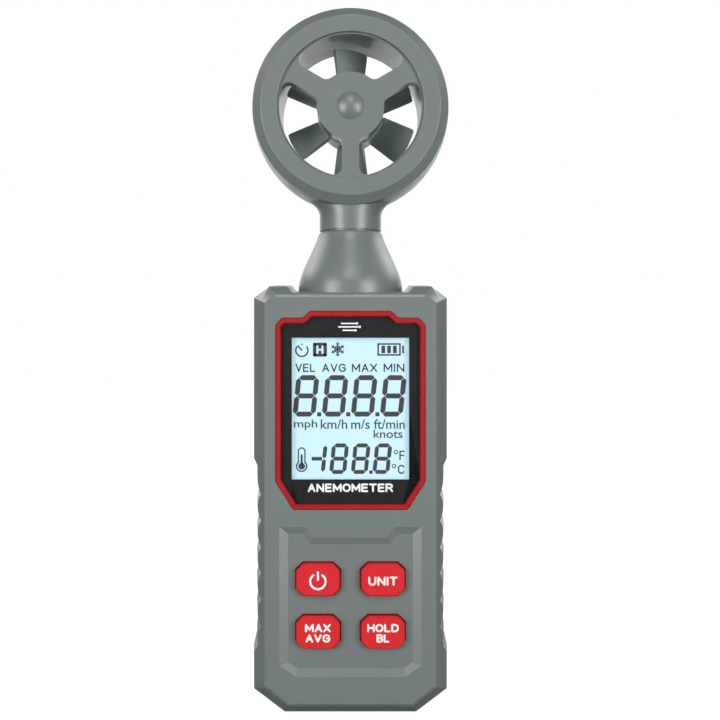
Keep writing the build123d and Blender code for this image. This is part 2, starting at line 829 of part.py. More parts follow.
clip_top = neck_flange_bottom - running_gap
spigot_bottom = clip_top - clip_thick - 0.8
plug_top = stalk_bottom + 6
with BuildPart() as swivel_spigot:
    with BuildSketch(Plane.XY.offset(spigot_bottom)):
        Circle(spigot_radius)
    extrude(amount=plug_top - spigot_bottom)
    with BuildSketch(Plane.XY.offset(neck_top + running_gap)):
        Circle(washer_radius)
    extrude(amount=swivel_gap - running_gap)
    with BuildSketch(Plane.XY.offset(spigot_bottom)):
        Circle(spigot_bore)
    extrude(amount=plug_top - spigot_bottom, mode=Mode.SUBTRACT)
    with BuildSketch(Plane.XY.offset(clip_top - clip_thick)):
        Circle(spigot_radius)
        Circle(spigot_radius - groove_depth, mode=Mode.SUBTRACT)
    extrude(amount=clip_thick, mode=Mode.SUBTRACT)
save(swivel_spigot, "swivel_spigot")

with BuildPart() as swivel_clip:
    with BuildSketch(Plane.XY.offset(clip_top - clip_thick)):
        Circle(clip_radius)
        Circle(spigot_radius - groove_depth, mode=Mode.SUBTRACT)
        with Locations((0, -clip_radius)):
            Rectangle(9, 2 * (clip_radius - 3), mode=Mode.SUBTRACT)
    extrude(amount=clip_thick)
save(swivel_clip, "swivel_clip")

# ---------------------------------------------------------------- head
hoop_outer = throat_radius + hoop_wall
hoop_front = ring_front + spider_recess
ring_bottom = head_height - ring_radius
stalk_ends = [
    (ring_bottom - 2.4, stalk_radius, stalk_radius),
    (ring_bottom + 0.5, stalk_radius + 0.9, stalk_radius),
    (ring_bottom + 2.7, stalk_radius + 3.2, stalk_radius),
    (ring_bottom + 4.6, stalk_radius + 5.4, stalk_radius),
]

with BuildPart() as head_hull:
    with BuildSketch(Plane.YZ):
        with BuildLine():
            Polyline((ring_front, head_height + ring_bore - 3), (ring_front, head_height + ring_face_radius),
                     (ring_front + ring_bevel, head_height + ring_bevel_radius))
            ThreePointArc((ring_front + ring_bevel, head_height + ring_bevel_radius),
                          (ring_parting - 3, head_height + ring_radius),
                          (ring_rear - ring_bevel, head_height + ring_bevel_radius))
            Polyline((ring_rear - ring_bevel, head_height + ring_bevel_radius),
                     (ring_rear, head_height + ring_face_radius), (ring_rear, head_height + ring_bore - 3),
                     (ring_front, head_height + ring_bore - 3))
        make_face()
    revolve(axis=spin_axis)
    with BuildSketch(Plane.XY.offset(stalk_bottom)):
        Circle(stalk_radius)
    extrude(amount=stalk_ends[0][0] - stalk_bottom)
    for z, wide, deep in stalk_ends:
        with BuildSketch(Plane.XY.offset(z)):
            Ellipse(wide, deep)
    loft()
    # bore for the spigot and the lead
    with BuildSketch(Plane.XY.offset(stalk_bottom)):
        Circle(spigot_radius)
    extrude(amount=plug_top - stalk_bottom, mode=Mode.SUBTRACT)
    with BuildSketch(Plane.XY.offset(stalk_bottom)):
        Circle(spigot_bore)
    extrude(amount=ring_bottom + 5.4 - stalk_bottom, mode=Mode.SUBTRACT)

ring_screw_places = [(ring_screw_circle * math.sin(math.radians(a)),
                      head_height + ring_screw_circle * math.cos(math.radians(a))) for a in (0, 120, 240)]
lead_y = hoop_front + arm_depth - 1.0

with BuildPart() as ring_front_piece:
    add(head_hull.part)
    split(bisect_by=Plane.XZ.offset(-ring_parting), keep=Keep.TOP)
    with BuildSketch(on_face(ring_parting)):
        with Locations((0, head_height)):
            Circle(hoop_outer)
    extrude(amount=ring_parting - hoop_front, mode=Mode.SUBTRACT)
    with BuildSketch(on_face(hoop_front)):
        with Locations((0, head_height)):
            Circle(ring_bore)
    extrude(amount=spider_recess + 1, mode=Mode.SUBTRACT)
    with BuildSketch(on_face(ring_parting)):
        with Locations((0, head_height)):
            Circle(channel_outer)
            Circle(channel_inner, mode=Mode.SUBTRACT)
        with Locations(*ring_screw_places):
            Circle(post_radius, mode=Mode.SUBTRACT)
    extrude(amount=ring_parting - channel_front, mode=Mode.SUBTRACT)
    with BuildSketch(on_face(ring_parting)):
        with Locations(*ring_screw_places):
            Circle(screw_radius)
    extrude(amount=pilot_depth, mode=Mode.SUBTRACT)
    with BuildSketch(Plane.XY.offset(head_height - channel_inner - 0.5)):
        with Locations((0, lead_y)):
            Circle(lead_radius + lead_gap)
    extrude(amount=channel_inner - throat_radius + 1, mode=Mode.SUBTRACT)
    front_rim = ring_front_piece.faces().sort_by(Axis.Y)[0]
    fillet(front_rim.edges(), radius=0.3)
save(ring_front_piece, "ring_front")

screw_pocket_y = ring_parting + 3.2
with BuildPart() as ring_rear_piece:
    add(head_hull.part)
    split(bisect_by=Plane.XZ.offset(-ring_parting), keep=Keep.BOTTOM)
    with BuildSketch(on_face(ring_rear + 1)):
        with Locations((0, head_height)):
            Circle(throat_radius)
    extrude(amount=ring_rear - ring_parting + 2, mode=Mode.SUBTRACT)
    with BuildSketch(on_face(ring_rear)):
        with Locations(*ring_screw_places):
            Circle(screw_radius + fit_gap)
    extrude(amount=ring_rear - ring_parting + 1, mode=Mode.SUBTRACT)
    with BuildSketch(on_face(ring_rear)):
        with Locations(*ring_screw_places):
            Circle(screw_head_radius + fit_gap)
    extrude(amount=ring_rear - screw_pocket_y, mode=Mode.SUBTRACT)
save(ring_rear_piece, "ring_rear")

with BuildPart() as ring_screws:
    with BuildSketch(on_face(screw_pocket_y)):
        with Locations(*ring_screw_places):
            Circle(screw_radius)
    extrude(amount=screw_pocket_y - ring_parting + screw_bite)
    with BuildSketch(on_face(screw_pocket_y)):
        with Locations(*ring_screw_places):
            Circle(screw_head_radius)
    extrude(amount=-screw_head)
    fillet(ring_screws.faces().group_by(Axis.Y)[-1].edges(), radius=head_round)
save(ring_screws, "ring_screws")

# ---------------------------------------------------------------- spider
arm_back_y = hoop_front + arm_depth
bearing_front_y = hoop_front + 2.0
bearing_back_y = hub_rear - 0.4
spider_arms = (
    (-90, lower_arm),
    (30, upper_arm),
    (150, upper_arm),
)
core_radius = hub_radius - 0.3
with BuildPart() as hub_core:
    with BuildSketch(Plane.YZ):
        with BuildLine():
            Line((bearing_front_y, head_height), (hoop_front - dome_height, head_height))
            ThreePointArc((hoop_front - dome_height, head_height),
                          (hoop_front - 0.75 * dome_height, head_height + dome_radius / 2),
                          (hoop_front, head_height + dome_radius))
            Polyline((hoop_front, head_height + dome_radius), (hoop_front, head_height + core_radius),
                     (hub_rear, head_height + core_radius), (hub_rear, head_height + hub_radius - hub_wall),
                     (arm_back_y, head_height + hub_radius - hub_wall), (arm_back_y, head_height + boss_radius),
                     (hub_rear, head_height + boss_radius), (hub_rear, head_height + bearing_radius),
                     (bearing_front_y, head_height + bearing_radius), (bearing_front_y, head_height))
        make_face()
    revolve(axis=spin_axis)

with BuildPart() as front_spider:
    with BuildSketch(on_face(ring_parting - fit_gap)):
        with Locations((0, head_height)):
            Circle(hoop_outer - running_gap)
    extrude(amount=ring_parting - fit_gap - hoop_front)
    with BuildSketch(on_face(ring_parting)):
        with Locations((0, head_height)):
            Circle(throat_radius)
    extrude(amount=ring_parting - arm_back_y, mode=Mode.SUBTRACT)
    # three rounded windows between the arms
    with BuildSketch(on_face(arm_back_y + 0.5)) as windows:
        with Locations((0, head_height)):
            Circle(throat_radius)
            Circle(hub_radius, mode=Mode.SUBTRACT)
        for angle, arm_width in spider_arms:
            with Locations(Location((0, head_height, 0), (0, 0, angle))):
                Rectangle(hoop_outer, arm_width, align=(Align.MIN, Align.CENTER), mode=Mode.SUBTRACT)
        corners = windows.vertices().filter_by(lambda v: abs(v.Y - head_height) > 1)
        fillet(corners, radius=arm_fillet)
    extrude(amount=arm_depth + 1, mode=Mode.SUBTRACT)
    with BuildSketch(on_face(arm_back_y + 0.5)):
        with Locations((0, head_height)):
            Circle(core_radius - 0.3)
    extrude(amount=arm_depth + 1, mode=Mode.SUBTRACT)
    add(hub_core.part)
    # lead channel along the back of the lower arm and out through the hoop
    with BuildSketch(Plane.XY.offset(head_height - hoop_outer - 0.5)):
        with Locations((0, lead_y - lead_radius - lead_gap)):
            Rectangle(2 * (lead_radius + lead_gap), 2.6, align=(Align.CENTER, Align.MIN))
    extrude(amount=hoop_outer + 0.5 - boss_radius - 1.5, mode=Mode.SUBTRACT)
save(front_spider, "front_spider")

for bearing_name, bearing_y in (("front_bearing", bearing_front_y + bearing_width), ("rear_bearing", bearing_back_y)):
    with BuildPart() as bearing:
        with BuildSketch(on_face(bearing_y)):
            with Locations((0, head_height)):
                Circle(bearing_radius)
                Circle(shaft_radius + running_gap, mode=Mode.SUBTRACT)
        extrude(amount=bearing_width)
    save(bearing, bearing_name)

board_ring_front = arm_back_y + fit_gap
with BuildPart() as hall_board:
    with BuildSketch(on_face(board_ring_front + hall_board_thick)):
        with Locations((0, head_height)):
            Circle(hub_radius - hub_wall - fit_gap)
            Circle(boss_radius + fit_gap, mode=Mode.SUBTRACT)
    extrude(amount=hall_board_thick)
save(hall_board, "hall_board")

with BuildPart() as hall_sensor:
    with BuildSketch(on_face(hub_rear - hall_gap)):
        with Locations((0, head_height + hall_circle)):
            Rectangle(hall_size, hall_size)
    extrude(amount=hub_rear - hall_gap - board_ring_front - hall_board_thick)
save(hall_sensor, "hall_sensor")

with BuildPart() as thermistor:
    with Locations((0, lead_y + lead_radius + thermistor_radius + 0.05, head_height - hub_radius - 4)):
        Sphere(thermistor_radius)
save(thermistor, "thermistor")

# ---------------------------------------------------------------- leads
def clear_lead(points, radii, name):
    """A round lead along straight runs joined by arcs."""
    with BuildPart() as lead:
        with BuildLine() as route:
            FilletPolyline(*points, radius=radii)
        with BuildSketch(Plane(origin=points[0], z_dir=Vector(*points[1]) - Vector(*points[0]))):
            Circle(lead_radius)
        sweep()
    save(lead, name)


lead_split = neck_top - 10
clear_lead([(0, lead_y, head_height - boss_radius - 2.2), (0, lead_y, head_height - channel_inner - 0.7),
            (0, 0, ring_bottom + 0.2), (0, 0, lead_split)], [1.8, 3.5], "upper_lead")
clear_lead([(0, 0, lead_split - running_gap), (0, 0, neck_flange_bottom - 1),
            (0, lead_entry_y, socket_top + 3), (0, lead_entry_y, socket_top)], [3.0, 2.0], "lower_lead")

# ---------------------------------------------------------------- impeller
tip_radius = throat_radius - tip_gap
root_radius = impeller_hub_radius - 0.6
blade_sections = []
for reach, across in ((root_radius, blade_root_width), (tip_radius, blade_tip_width)):
    pitch = math.degrees(math.atan2(blade_axial, across))
    with BuildSketch(Plane.XY.offset(head_height + reach)) as section:
        with Locations(Location((0, blade_middle, 0), (0, 0, pitch))):
            Rectangle(math.hypot(across, blade_axial), blade_thick)
    blade_sections.append(section.sketch)

with BuildPart() as blade:
    loft(blade_sections)
    tip_edges = blade.faces().sort_by(Axis.Z)[-1].edges().sort_by(SortBy.LENGTH)[:2]
    fillet(tip_edges, radius=blade_corner)

with BuildPart() as impeller:
    with BuildSketch(on_face(impeller_rear)):
        with Locations((0, head_height)):
            Circle(impeller_hub_radius)
    extrude(amount=impeller_rear - impeller_front)
    for i in range(blade_count):
        add(blade.part.rotate(spin_axis, 360 / blade_count * i))
    with BuildSketch(on_face(impeller_rear + 1)):
        with Locations((0, head_height)):
            Circle(tip_radius)
    extrude(amount=impeller_rear - impeller_front + 3, mode=Mode.INTERSECT)
    with BuildSketch(on_face(impeller_rear + 1)):
        with Locations((0, head_height)):
            Circle(impeller_hub_radius - impeller_wall)
            Circle(shaft_radius + 1.6, mode=Mode.SUBTRACT)
    extrude(amount=impeller_rear + 1 - impeller_front - impeller_wall, mode=Mode.SUBTRACT)
    with BuildSketch(on_face(impeller_rear + 1)):
        with Locations((0, head_height)):
            Circle(shaft_radius)
    extrude(amount=impeller_rear - impeller_front + 2, mode=Mode.SUBTRACT)
save(impeller, "impeller")

shaft_front_y = bearing_front_y + 0.2
with BuildPart() as impeller_shaft:
    with BuildSketch(on_face(impeller_rear + shaft_stub)):
        with Locations((0, head_height)):
            Circle(shaft_radius)
    extrude(amount=impeller_rear + shaft_stub - shaft_front_y)
    chamfer(impeller_shaft.edges().filter_by(GeomType.CIRCLE), length=0.2)
save(impeller_shaft, "impeller_shaft")

with BuildPart() as shaft_cap:
    with BuildSketch(on_face(impeller_rear + cap_thick)):
        with Locations((0, head_height)):
            Circle(shaft_radius + cap_wall)
            Circle(shaft_radius, mode=Mode.SUBTRACT)
    extrude(amount=cap_thick)
save(shaft_cap, "shaft_cap")

with BuildPart() as impeller_magnets:
    with BuildSketch(on_face(impeller_front + impeller_wall + magnet_thick)):
        with Locations((0, head_height + magnet_circle), (0, head_height - magnet_circle)):
            Circle(magnet_radius)
    extrude(amount=magnet_thick)
save(impeller_magnets, "impeller_magnets")
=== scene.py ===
import json
import math
import bpy
from bpy.props import FloatProperty, FloatVectorProperty, IntProperty, PointerProperty
from mathutils import Matrix, Vector


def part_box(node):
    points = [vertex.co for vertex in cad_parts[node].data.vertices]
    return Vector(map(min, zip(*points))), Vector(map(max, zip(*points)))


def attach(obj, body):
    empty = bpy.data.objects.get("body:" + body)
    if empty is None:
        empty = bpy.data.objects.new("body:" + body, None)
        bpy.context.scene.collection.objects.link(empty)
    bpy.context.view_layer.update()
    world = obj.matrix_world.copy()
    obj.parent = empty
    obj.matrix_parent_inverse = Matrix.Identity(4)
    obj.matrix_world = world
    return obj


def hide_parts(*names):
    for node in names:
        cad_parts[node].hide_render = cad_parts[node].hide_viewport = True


bl_info = {
    "name": "Vane anemometer looks",
    "version": (1, 0, 0),
    "blender": (4, 5, 0),
    "location": "3D View > Sidebar > Anemometer",
    "description": "Finishes, display, legends, springs and studio for a hand-held vane anemometer",
    "category": "Object",
}

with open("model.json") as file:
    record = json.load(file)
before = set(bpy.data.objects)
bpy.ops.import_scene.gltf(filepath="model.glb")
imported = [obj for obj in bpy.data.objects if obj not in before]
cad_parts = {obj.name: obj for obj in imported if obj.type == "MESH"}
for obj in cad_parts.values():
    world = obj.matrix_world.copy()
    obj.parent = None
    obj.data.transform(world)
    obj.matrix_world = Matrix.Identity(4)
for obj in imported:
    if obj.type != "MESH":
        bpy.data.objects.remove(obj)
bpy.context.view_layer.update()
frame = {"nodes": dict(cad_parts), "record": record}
MM = 0.001

# ---------------------------------------------------------------- places taken from the frame
LCD_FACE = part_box("lcd_panel")[0][1]
WINDOW_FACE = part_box("display_window")[0][1]
CASE_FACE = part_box("front_shell")[0][1]

# ---------------------------------------------------------------- layout of the display, in millimetres
SPEED_LEFT, SPEED_LOW = -15.65, 83.75
SPEED_WIDTH, SPEED_HEIGHT, SPEED_PITCH = 6.4, 11.6, 8.15
SPEED_POINT_X, SPEED_POINT_Z, SPEED_POINT = -8.75, 84.4, 1.15
SPEED_BAR_GAP = 0.16

HEAT_LEFTS, HEAT_LOW = (-5.55, 0.5, 6.55), 67.7
HEAT_WIDTH, HEAT_HEIGHT = 4.75, 8.55
HEAT_HUNDRED_LEFT = -11.55
HEAT_MINUS_X, HEAT_MINUS_Z, HEAT_MINUS_WIDTH, HEAT_MINUS_HEIGHT = -9.4, 71.95, 2.9, 1.0
HEAT_POINT_X, HEAT_POINT_Z, HEAT_POINT = 5.75, 68.2, 0.95
HEAT_BAR_GAP = 0.14
HEAT_BAR_SHARE = 0.8

# a word and its left, right, lower and upper edge
CAPITAL_WORDS = (
    ("VEL", -15.4, -9.8, 96.25, 98.6), ("AVG", -7.9, -1.3, 96.25, 98.6),
    ("MAX", 0.4, 7.5, 96.25, 98.6), ("MIN", 9.3, 15.1, 96.25, 98.6),
    ("F", 13.7, 15.2, 71.5, 74.2), ("C", 13.3, 15.1, 67.7, 70.3),
)
SPEED_UNITS = (
    ("mph", -15.8, -9.3, 80.0, 82.9), ("km/h", -8.3, -0.9, 80.3, 83.0),
    ("m/s", 0.2, 5.4, 80.3, 83.0), ("ft/min", 6.6, 15.2, 80.3, 83.0),
    ("knots", 6.5, 14.6, 77.75, 80.1),
)
CAPITAL_STROKE = 0.37
DEGREE_SIGNS = ((12.75, 73.8), (12.2, 69.9))
DEGREE_RADIUS, DEGREE_HOLE = 0.62, 0.36

TIMER_X, TIMER_Z = -13.6, 102.3
BADGE_X, BADGE_Z, BADGE_SIZE = -8.54, 102.5, 3.5
FROST_X, FROST_Z = -3.56, 102.6
GAUGE_X, GAUGE_Z, GAUGE_LINE = 10.82, 102.55, 0.44
BULB_X, BULB_Z, BULB_LINE = -13.65, 69.85, 0.36

# ---------------------------------------------------------------- layout of the print, in millimetres
MASK_WORD = ("ANEMOMETER", -11.85, 11.85, 62.9, 65.3)
MASK_STROKE = 0.52
WIND_REACHES = (4.4, 6.0, 3.6)
WIND_X, WIND_TOP, WIND_PITCH, WIND_LINE = -0.4, 109.75, 0.95, 0.36

KEY_STROKE = 0.50
# for each key the words with their width, height and lift above the middle of the key
KEY_LEGENDS = {
    "unit": [("UNIT", 8.1, 2.5, -0.3)],
    "max_avg": [("MAX", 7.1, 2.3, 1.3), ("AVG", 6.8, 2.3, -1.55)],
    "hold": [("HOLD", 8.7, 2.3, 1.3), ("BL", 3.6, 2.3, -1.55)],
}
POWER_RADIUS, POWER_HOLE, POWER_DROP = 2.4, 1.85, 0.4

# ---------------------------------------------------------------- battery springs, in millimetres
SPRING_WIRE, SPRING_RADIUS, SPRING_TAPER = 0.28, 2.6, 0.22
WIRE_SIDES, STEPS_IN_TURN = 8, 20

# ---------------------------------------------------------------- studio, in degrees and metres
# a softbox and its azimuth, elevation, distance, width, height and the setting of its power
SOFTBOXES = (
    ("softbox_left", -41, 1, 0.80, 0.32, 0.60, "side_power"),
    ("softbox_right", 41, 1, 0.80, 0.32, 0.60, "side_power"),
    ("softbox_top", 0, 44, 0.95, 0.36, 0.26, "top_power"),
    ("softbox_rear_left", -122, 36, 0.95, 0.60, 0.50, "rim_power"),
    ("softbox_rear_right", 122, 36, 0.95, 0.60, 0.50, "rim_power"),
    ("softbox_front", 0, 8, 0.60, 0.50, 0.50, "front_power"),
    ("softbox_back", 180, 0, 0.90, 1.60, 1.20, "back_power"),
)
FLOOR_SIZE = 12
SENSOR_WIDTH = 36.0
CAMERA_SHIFT = 0.0133


# ---------------------------------------------------------------- settings
class CaseLooks(bpy.types.PropertyGroup):
    """Colours and surface of the mouldings."""

    grey: FloatVectorProperty(name="Case grey", description="Colour of the case and the head",
                              subtype="COLOR", size=3, default=(0.165, 0.193, 0.186))
    bezel_red: FloatVectorProperty(name="Bezel red", description="Colour of the frame round the display",
                                   subtype="COLOR", size=3, default=(0.42, 0.005, 0.007))
    key_red: FloatVectorProperty(name="Key red", description="Colour of the four keys",
                                 subtype="COLOR", size=3, default=(0.72, 0.020, 0.026))
    # the vane wheel is lighter than the case: painted light that makes up for the shade inside the ring
    blade_grey: FloatVectorProperty(name="Impeller grey", description="Colour of the vane wheel",
                                    subtype="COLOR", size=3, default=(0.29, 0.34, 0.325))
    grain_depth: FloatProperty(name="Grain depth", description="Height of the moulded texture",
                               unit="LENGTH", default=0.00003, precision=6)
    legend: FloatVectorProperty(name="Legend white", description="Colour of the printed words",
                                subtype="COLOR", size=3, default=(0.92, 0.92, 0.90))


class DisplayLooks(bpy.types.PropertyGroup):
    """Colours and segment sizes of the display."""

    glass: FloatVectorProperty(name="Display blue", description="Colour of the lit display",
                               subtype="COLOR", size=3, default=(0.52, 0.74, 0.84))
    ink: FloatVectorProperty(name="Segment grey", description="Colour of the dark segments",
                             subtype="COLOR", size=3, default=(0.065, 0.067, 0.070))
    slant: FloatProperty(name="Digit slant", description="Lean of the digits",
                         subtype="ANGLE", default=math.radians(6))
    bar: FloatProperty(name="Segment width", description="Width of one bar of a large digit",
                       unit="LENGTH", default=0.0014, precision=5)
    ink_thickness: FloatProperty(name="Ink thickness", description="Thickness of segments and print",
                                 unit="LENGTH", default=0.00004, precision=6)


class StudioLooks(bpy.types.PropertyGroup):
    """Camera and lights."""

    lens: FloatProperty(name="Lens", description="Focal length of the camera in millimetres", default=56.8)
    distance: FloatProperty(name="Camera distance", description="Camera to the front face of the case",
                            unit="LENGTH", default=0.3156, precision=4)
    height: FloatProperty(name="Camera height", description="Height of the level camera",
                          unit="LENGTH", default=0.0996, precision=4)
    side_power: FloatProperty(name="Side light", description="Power of each side softbox",
                              unit="POWER", default=4.2)
    top_power: FloatProperty(name="Top light", description="Power of the overhead softbox",
                             unit="POWER", default=1.5)
    front_power: FloatProperty(name="Front light", description="Power of the softbox above the camera",
                               unit="POWER", default=0.25)
    rim_power: FloatProperty(name="Rim light", description="Power of each softbox above and behind",
                             unit="POWER", default=3.0)
    back_power: FloatProperty(name="Back light", description="Power of the panel behind the instrument",
                              unit="POWER", default=8.0)
    floor_drop: FloatProperty(name="Floor drop", description="Floor below the case, clear of the open door",
                              unit="LENGTH", default=0.062, precision=4)


class BatteryLooks(bpy.types.PropertyGroup):
    """Battery springs."""

    turns: IntProperty(name="Spring turns", description="Turns of each battery spring", default=6)


PROPERTY_GROUPS = (("anemometer_case", CaseLooks), ("anemometer_display", DisplayLooks),
                   ("anemometer_battery", BatteryLooks), ("anemometer_studio", StudioLooks))


# ---------------------------------------------------------------- node helpers
# agreement of the rounded and the true normal on a flat face and at a sharp edge
FLAT_FACE, SHARP_EDGE = 0.995, 0.90
# loss of roughness where an edge is worn
WORN_SMOOTHING = 0.12


def new_group(name, inputs, outputs):
    """A shader node group with named sockets, and its two end nodes."""
    group = bpy.data.node_groups.new(name, "ShaderNodeTree")
    for label, kind, default in inputs:
        socket = group.interface.new_socket(label, in_out="INPUT", socket_type=kind)
        socket.default_value = default
    for label, kind in outputs:
        group.interface.new_socket(label, in_out="OUTPUT", socket_type=kind)
    return group, group.nodes.new("NodeGroupInput"), group.nodes.new("NodeGroupOutput")


def add_node(tree, kind, links=(), **values):
    """Add a node, set its properties and sockets, and link its inputs."""
    node = tree.nodes.new(kind)
    for key, value in values.items():
        if key in node.inputs:
            node.inputs[key].default_value = value
        elif hasattr(node, key):
            setattr(node, key, value)
        else:
            node.inputs[key.replace("_", " ")].default_value = value
    for key, source in dict(links).items():
        tree.links.new(source, node.inputs[key])
    return node


def grain_group():
    """Fine moulded texture: a height and a roughness mask."""
    if "moulded_grain" in bpy.data.node_groups:
        return bpy.data.node_groups["moulded_grain"]
    group, start, end = new_group(
        "moulded_grain", [("Scale", "NodeSocketFloat", 2500.0), ("Coarse", "NodeSocketFloat", 220.0)],
        [("Height", "NodeSocketFloat"), ("Mask", "NodeSocketFloat")])
    where = add_node(group, "ShaderNodeTexCoord")
    fine = add_node(group, "ShaderNodeTexNoise", {"Vector": where.outputs["Object"],
                    "Scale": start.outputs["Scale"]}, Detail=2.0, Roughness=0.6)
    pits = add_node(group, "ShaderNodeTexVoronoi", {"Vector": where.outputs["Object"],
                    "Scale": start.outputs["Scale"]}, Randomness=1.0)
    both = add_node(group, "ShaderNodeMath", {0: fine.outputs["Fac"], 1: pits.outputs["Distance"]},
                    operation="MULTIPLY")
    broad = add_node(group, "ShaderNodeTexNoise", {"Vector": where.outputs["Object"],
                     "Scale": start.outputs["Coarse"]}, Detail=4.0, Roughness=0.55)
    group.links.new(both.outputs[0], end.inputs["Height"])
    group.links.new(broad.outputs["Fac"], end.inputs["Mask"])
    return group


def wear_and_sheen_group():
    """Mask of convex edges, broken up by noise: handling wear, and a painted highlight line along the edges.
    """
    if "edge_wear" in bpy.data.node_groups:
        return bpy.data.node_groups["edge_wear"]
    group, start, end = new_group(
        "edge_wear", [("Width", "NodeSocketFloat", 0.0004), ("Breakup", "NodeSocketFloat", 300.0)],
        [("Mask", "NodeSocketFloat")])
    where = add_node(group, "ShaderNodeTexCoord")
    here = add_node(group, "ShaderNodeNewGeometry")
    rounded = add_node(group, "ShaderNodeBevel", {"Radius": start.outputs["Width"]}, samples=4)
    turn = add_node(group, "ShaderNodeVectorMath",
                    {0: rounded.outputs["Normal"], 1: here.outputs["True Normal"]}, operation="DOT_PRODUCT")
    edge = add_node(group, "ShaderNodeMapRange", {"Value": turn.outputs["Value"]})
    edge.inputs["From Min"].default_value = FLAT_FACE
    edge.inputs["From Max"].default_value = SHARP_EDGE
    patchy = add_node(group, "ShaderNodeTexNoise", {"Vector": where.outputs["Object"],
                      "Scale": start.outputs["Breakup"]}, Detail=5.0)
    ramp = add_node(group, "ShaderNodeMapRange", {"Value": patchy.outputs["Fac"]})
    ramp.inputs["From Min"].default_value = 0.35
    ramp.inputs["From Max"].default_value = 0.65
    worn_and_sheen = add_node(group, "ShaderNodeMath", {0: edge.outputs[0], 1: ramp.outputs[0]}, operation="MULTIPLY")
    group.links.new(worn_and_sheen.outputs[0], end.inputs["Mask"])
    return group


def drift_group():
    """Slow variation between a colour and a slightly darker or lighter one."""
    if "colour_drift" in bpy.data.node_groups:
        return bpy.data.node_groups["colour_drift"]
    group, start, end = new_group(
        "colour_drift", [("Color", "NodeSocketColor", (0.5, 0.5, 0.5, 1)),
                         ("Edge", "NodeSocketColor", (0.6, 0.6, 0.6, 1)),
                         ("Wear", "NodeSocketFloat", 0.0), ("Amount", "NodeSocketFloat", 0.06),
                         ("Scale", "NodeSocketFloat", 60.0)],
        [("Color", "NodeSocketColor")])
    where = add_node(group, "ShaderNodeTexCoord")
    cloud = add_node(group, "ShaderNodeTexNoise", {"Vector": where.outputs["Object"],
                     "Scale": start.outputs["Scale"]}, Detail=6.0, Roughness=0.6)
    level = add_node(group, "ShaderNodeMath", {0: cloud.outputs["Fac"]}, operation="SUBTRACT")
    level.inputs[1].default_value = 0.5
    scaled = add_node(group, "ShaderNodeMath", {0: level.outputs[0], 1: start.outputs["Amount"]},
                      operation="MULTIPLY")
    bright = add_node(group, "ShaderNodeMath", {0: scaled.outputs[0]}, operation="ADD")
    bright.inputs[1].default_value = 1.0
    tint = add_node(group, "ShaderNodeHueSaturation", {"Color": start.outputs["Color"],
                    "Value": bright.outputs[0]})
    # mix towards the lighter edge colour along the edge mask: worn edges and a painted highlight line
    worn_and_sheen = add_node(group, "ShaderNodeMix", {"Factor": start.outputs["Wear"]}, data_type="RGBA")
    group.links.new(tint.outputs["Color"], worn_and_sheen.inputs["A"])
    group.links.new(start.outputs["Edge"], worn_and_sheen.inputs["B"])
    group.links.new(worn_and_sheen.outputs["Result"], end.inputs["Color"])
    return group


def place_group(tree, group, links=(), **values):
    """Put a node group in a material with its own values."""
    node = tree.nodes.new("ShaderNodeGroup")
    node.node_tree = group
    for key, value in values.items():
        node.inputs[key].default_value = value
    for key, source in dict(links).items():
        tree.links.new(source, node.inputs[key])
    return node


def moulded(name, colour, roughness, grain=2500.0, depth=0.00003, wear_and_sheen=0.5, drift=0.08, rough_spread=0.12,
            edge_gain=1.5, metallic=0.0, coat=0.0, specular=0.5, coarse=220.0, emission=0.0):
    """A finish with colour drift, fine grain, uneven roughness, and edges lightened both for wear and as a
    painted highlight.
    """
    material = bpy.data.materials.new(name)
    material.use_nodes = True
    tree = material.node_tree
    shader = tree.nodes["Principled BSDF"]
    shader.inputs["Metallic"].default_value = metallic
    shader.inputs["Coat Weight"].default_value = coat
    shader.inputs["Specular IOR Level"].default_value = specular
    texture = place_group(tree, grain_group(), Scale=grain, Coarse=coarse)
    edge = place_group(tree, wear_and_sheen_group())
    amount = add_node(tree, "ShaderNodeMath", {0: edge.outputs["Mask"]}, operation="MULTIPLY")
    amount.inputs[1].default_value = wear_and_sheen
    # the lighter edge colour stands both for worn plastic and for a painted highlight line along the edges
    light = tuple(min(1.0, c * edge_gain + 0.01) for c in colour)
    tone = place_group(tree, drift_group(), {"Wear": amount.outputs[0]}, Color=(*colour, 1),
                       Edge=(*light, 1), Amount=drift)
    tree.links.new(tone.outputs["Color"], shader.inputs["Base Color"])
    rough = add_node(tree, "ShaderNodeMapRange", {"Value": texture.outputs["Mask"]})
    rough.inputs["From Min"].default_value = 0.3
    rough.inputs["From Max"].default_value = 0.7
    rough.inputs["To Min"].default_value = roughness - rough_spread / 2
    rough.inputs["To Max"].default_value = roughness + rough_spread / 2
    polished = add_node(tree, "ShaderNodeMath", {0: amount.outputs[0]}, operation="MULTIPLY")
    polished.inputs[1].default_value = WORN_SMOOTHING
    final = add_node(tree, "ShaderNodeMath", {0: rough.outputs[0], 1: polished.outputs[0]},
                     operation="SUBTRACT")
    tree.links.new(final.outputs[0], shader.inputs["Roughness"])
    bump = add_node(tree, "ShaderNodeBump", {"Height": texture.outputs["Height"]}, Strength=0.35)
    bump.inputs["Distance"].default_value = depth
    tree.links.new(bump.outputs["Normal"], shader.inputs["Normal"])
    # a glow in the surface colour: painted light on the print, and on the display partly in place of its
    # backlight
    if emission:
        tree.links.new(tone.outputs["Color"], shader.inputs["Emission Color"])
        shader.inputs["Emission Strength"].default_value = emission
    return material


def clear_glass(name, alpha, tint):
    """A thin clear window that the display shows through."""
    material = bpy.data.materials.new(name)
    material.use_nodes = True
    tree = material.node_tree
    shader = tree.nodes["Principled BSDF"]
    shader.inputs["Base Color"].default_value = (*tint, 1)
    shader.inputs["Alpha"].default_value = alpha
    smudge = place_group(tree, grain_group(), Scale=400.0, Coarse=60.0)
    rough = add_node(tree, "ShaderNodeMapRange", {"Value": smudge.outputs["Mask"]})
    rough.inputs["To Min"].default_value = 0.03
    rough.inputs["To Max"].default_value = 0.10
    tree.links.new(rough.outputs[0], shader.inputs["Roughness"])
    return material


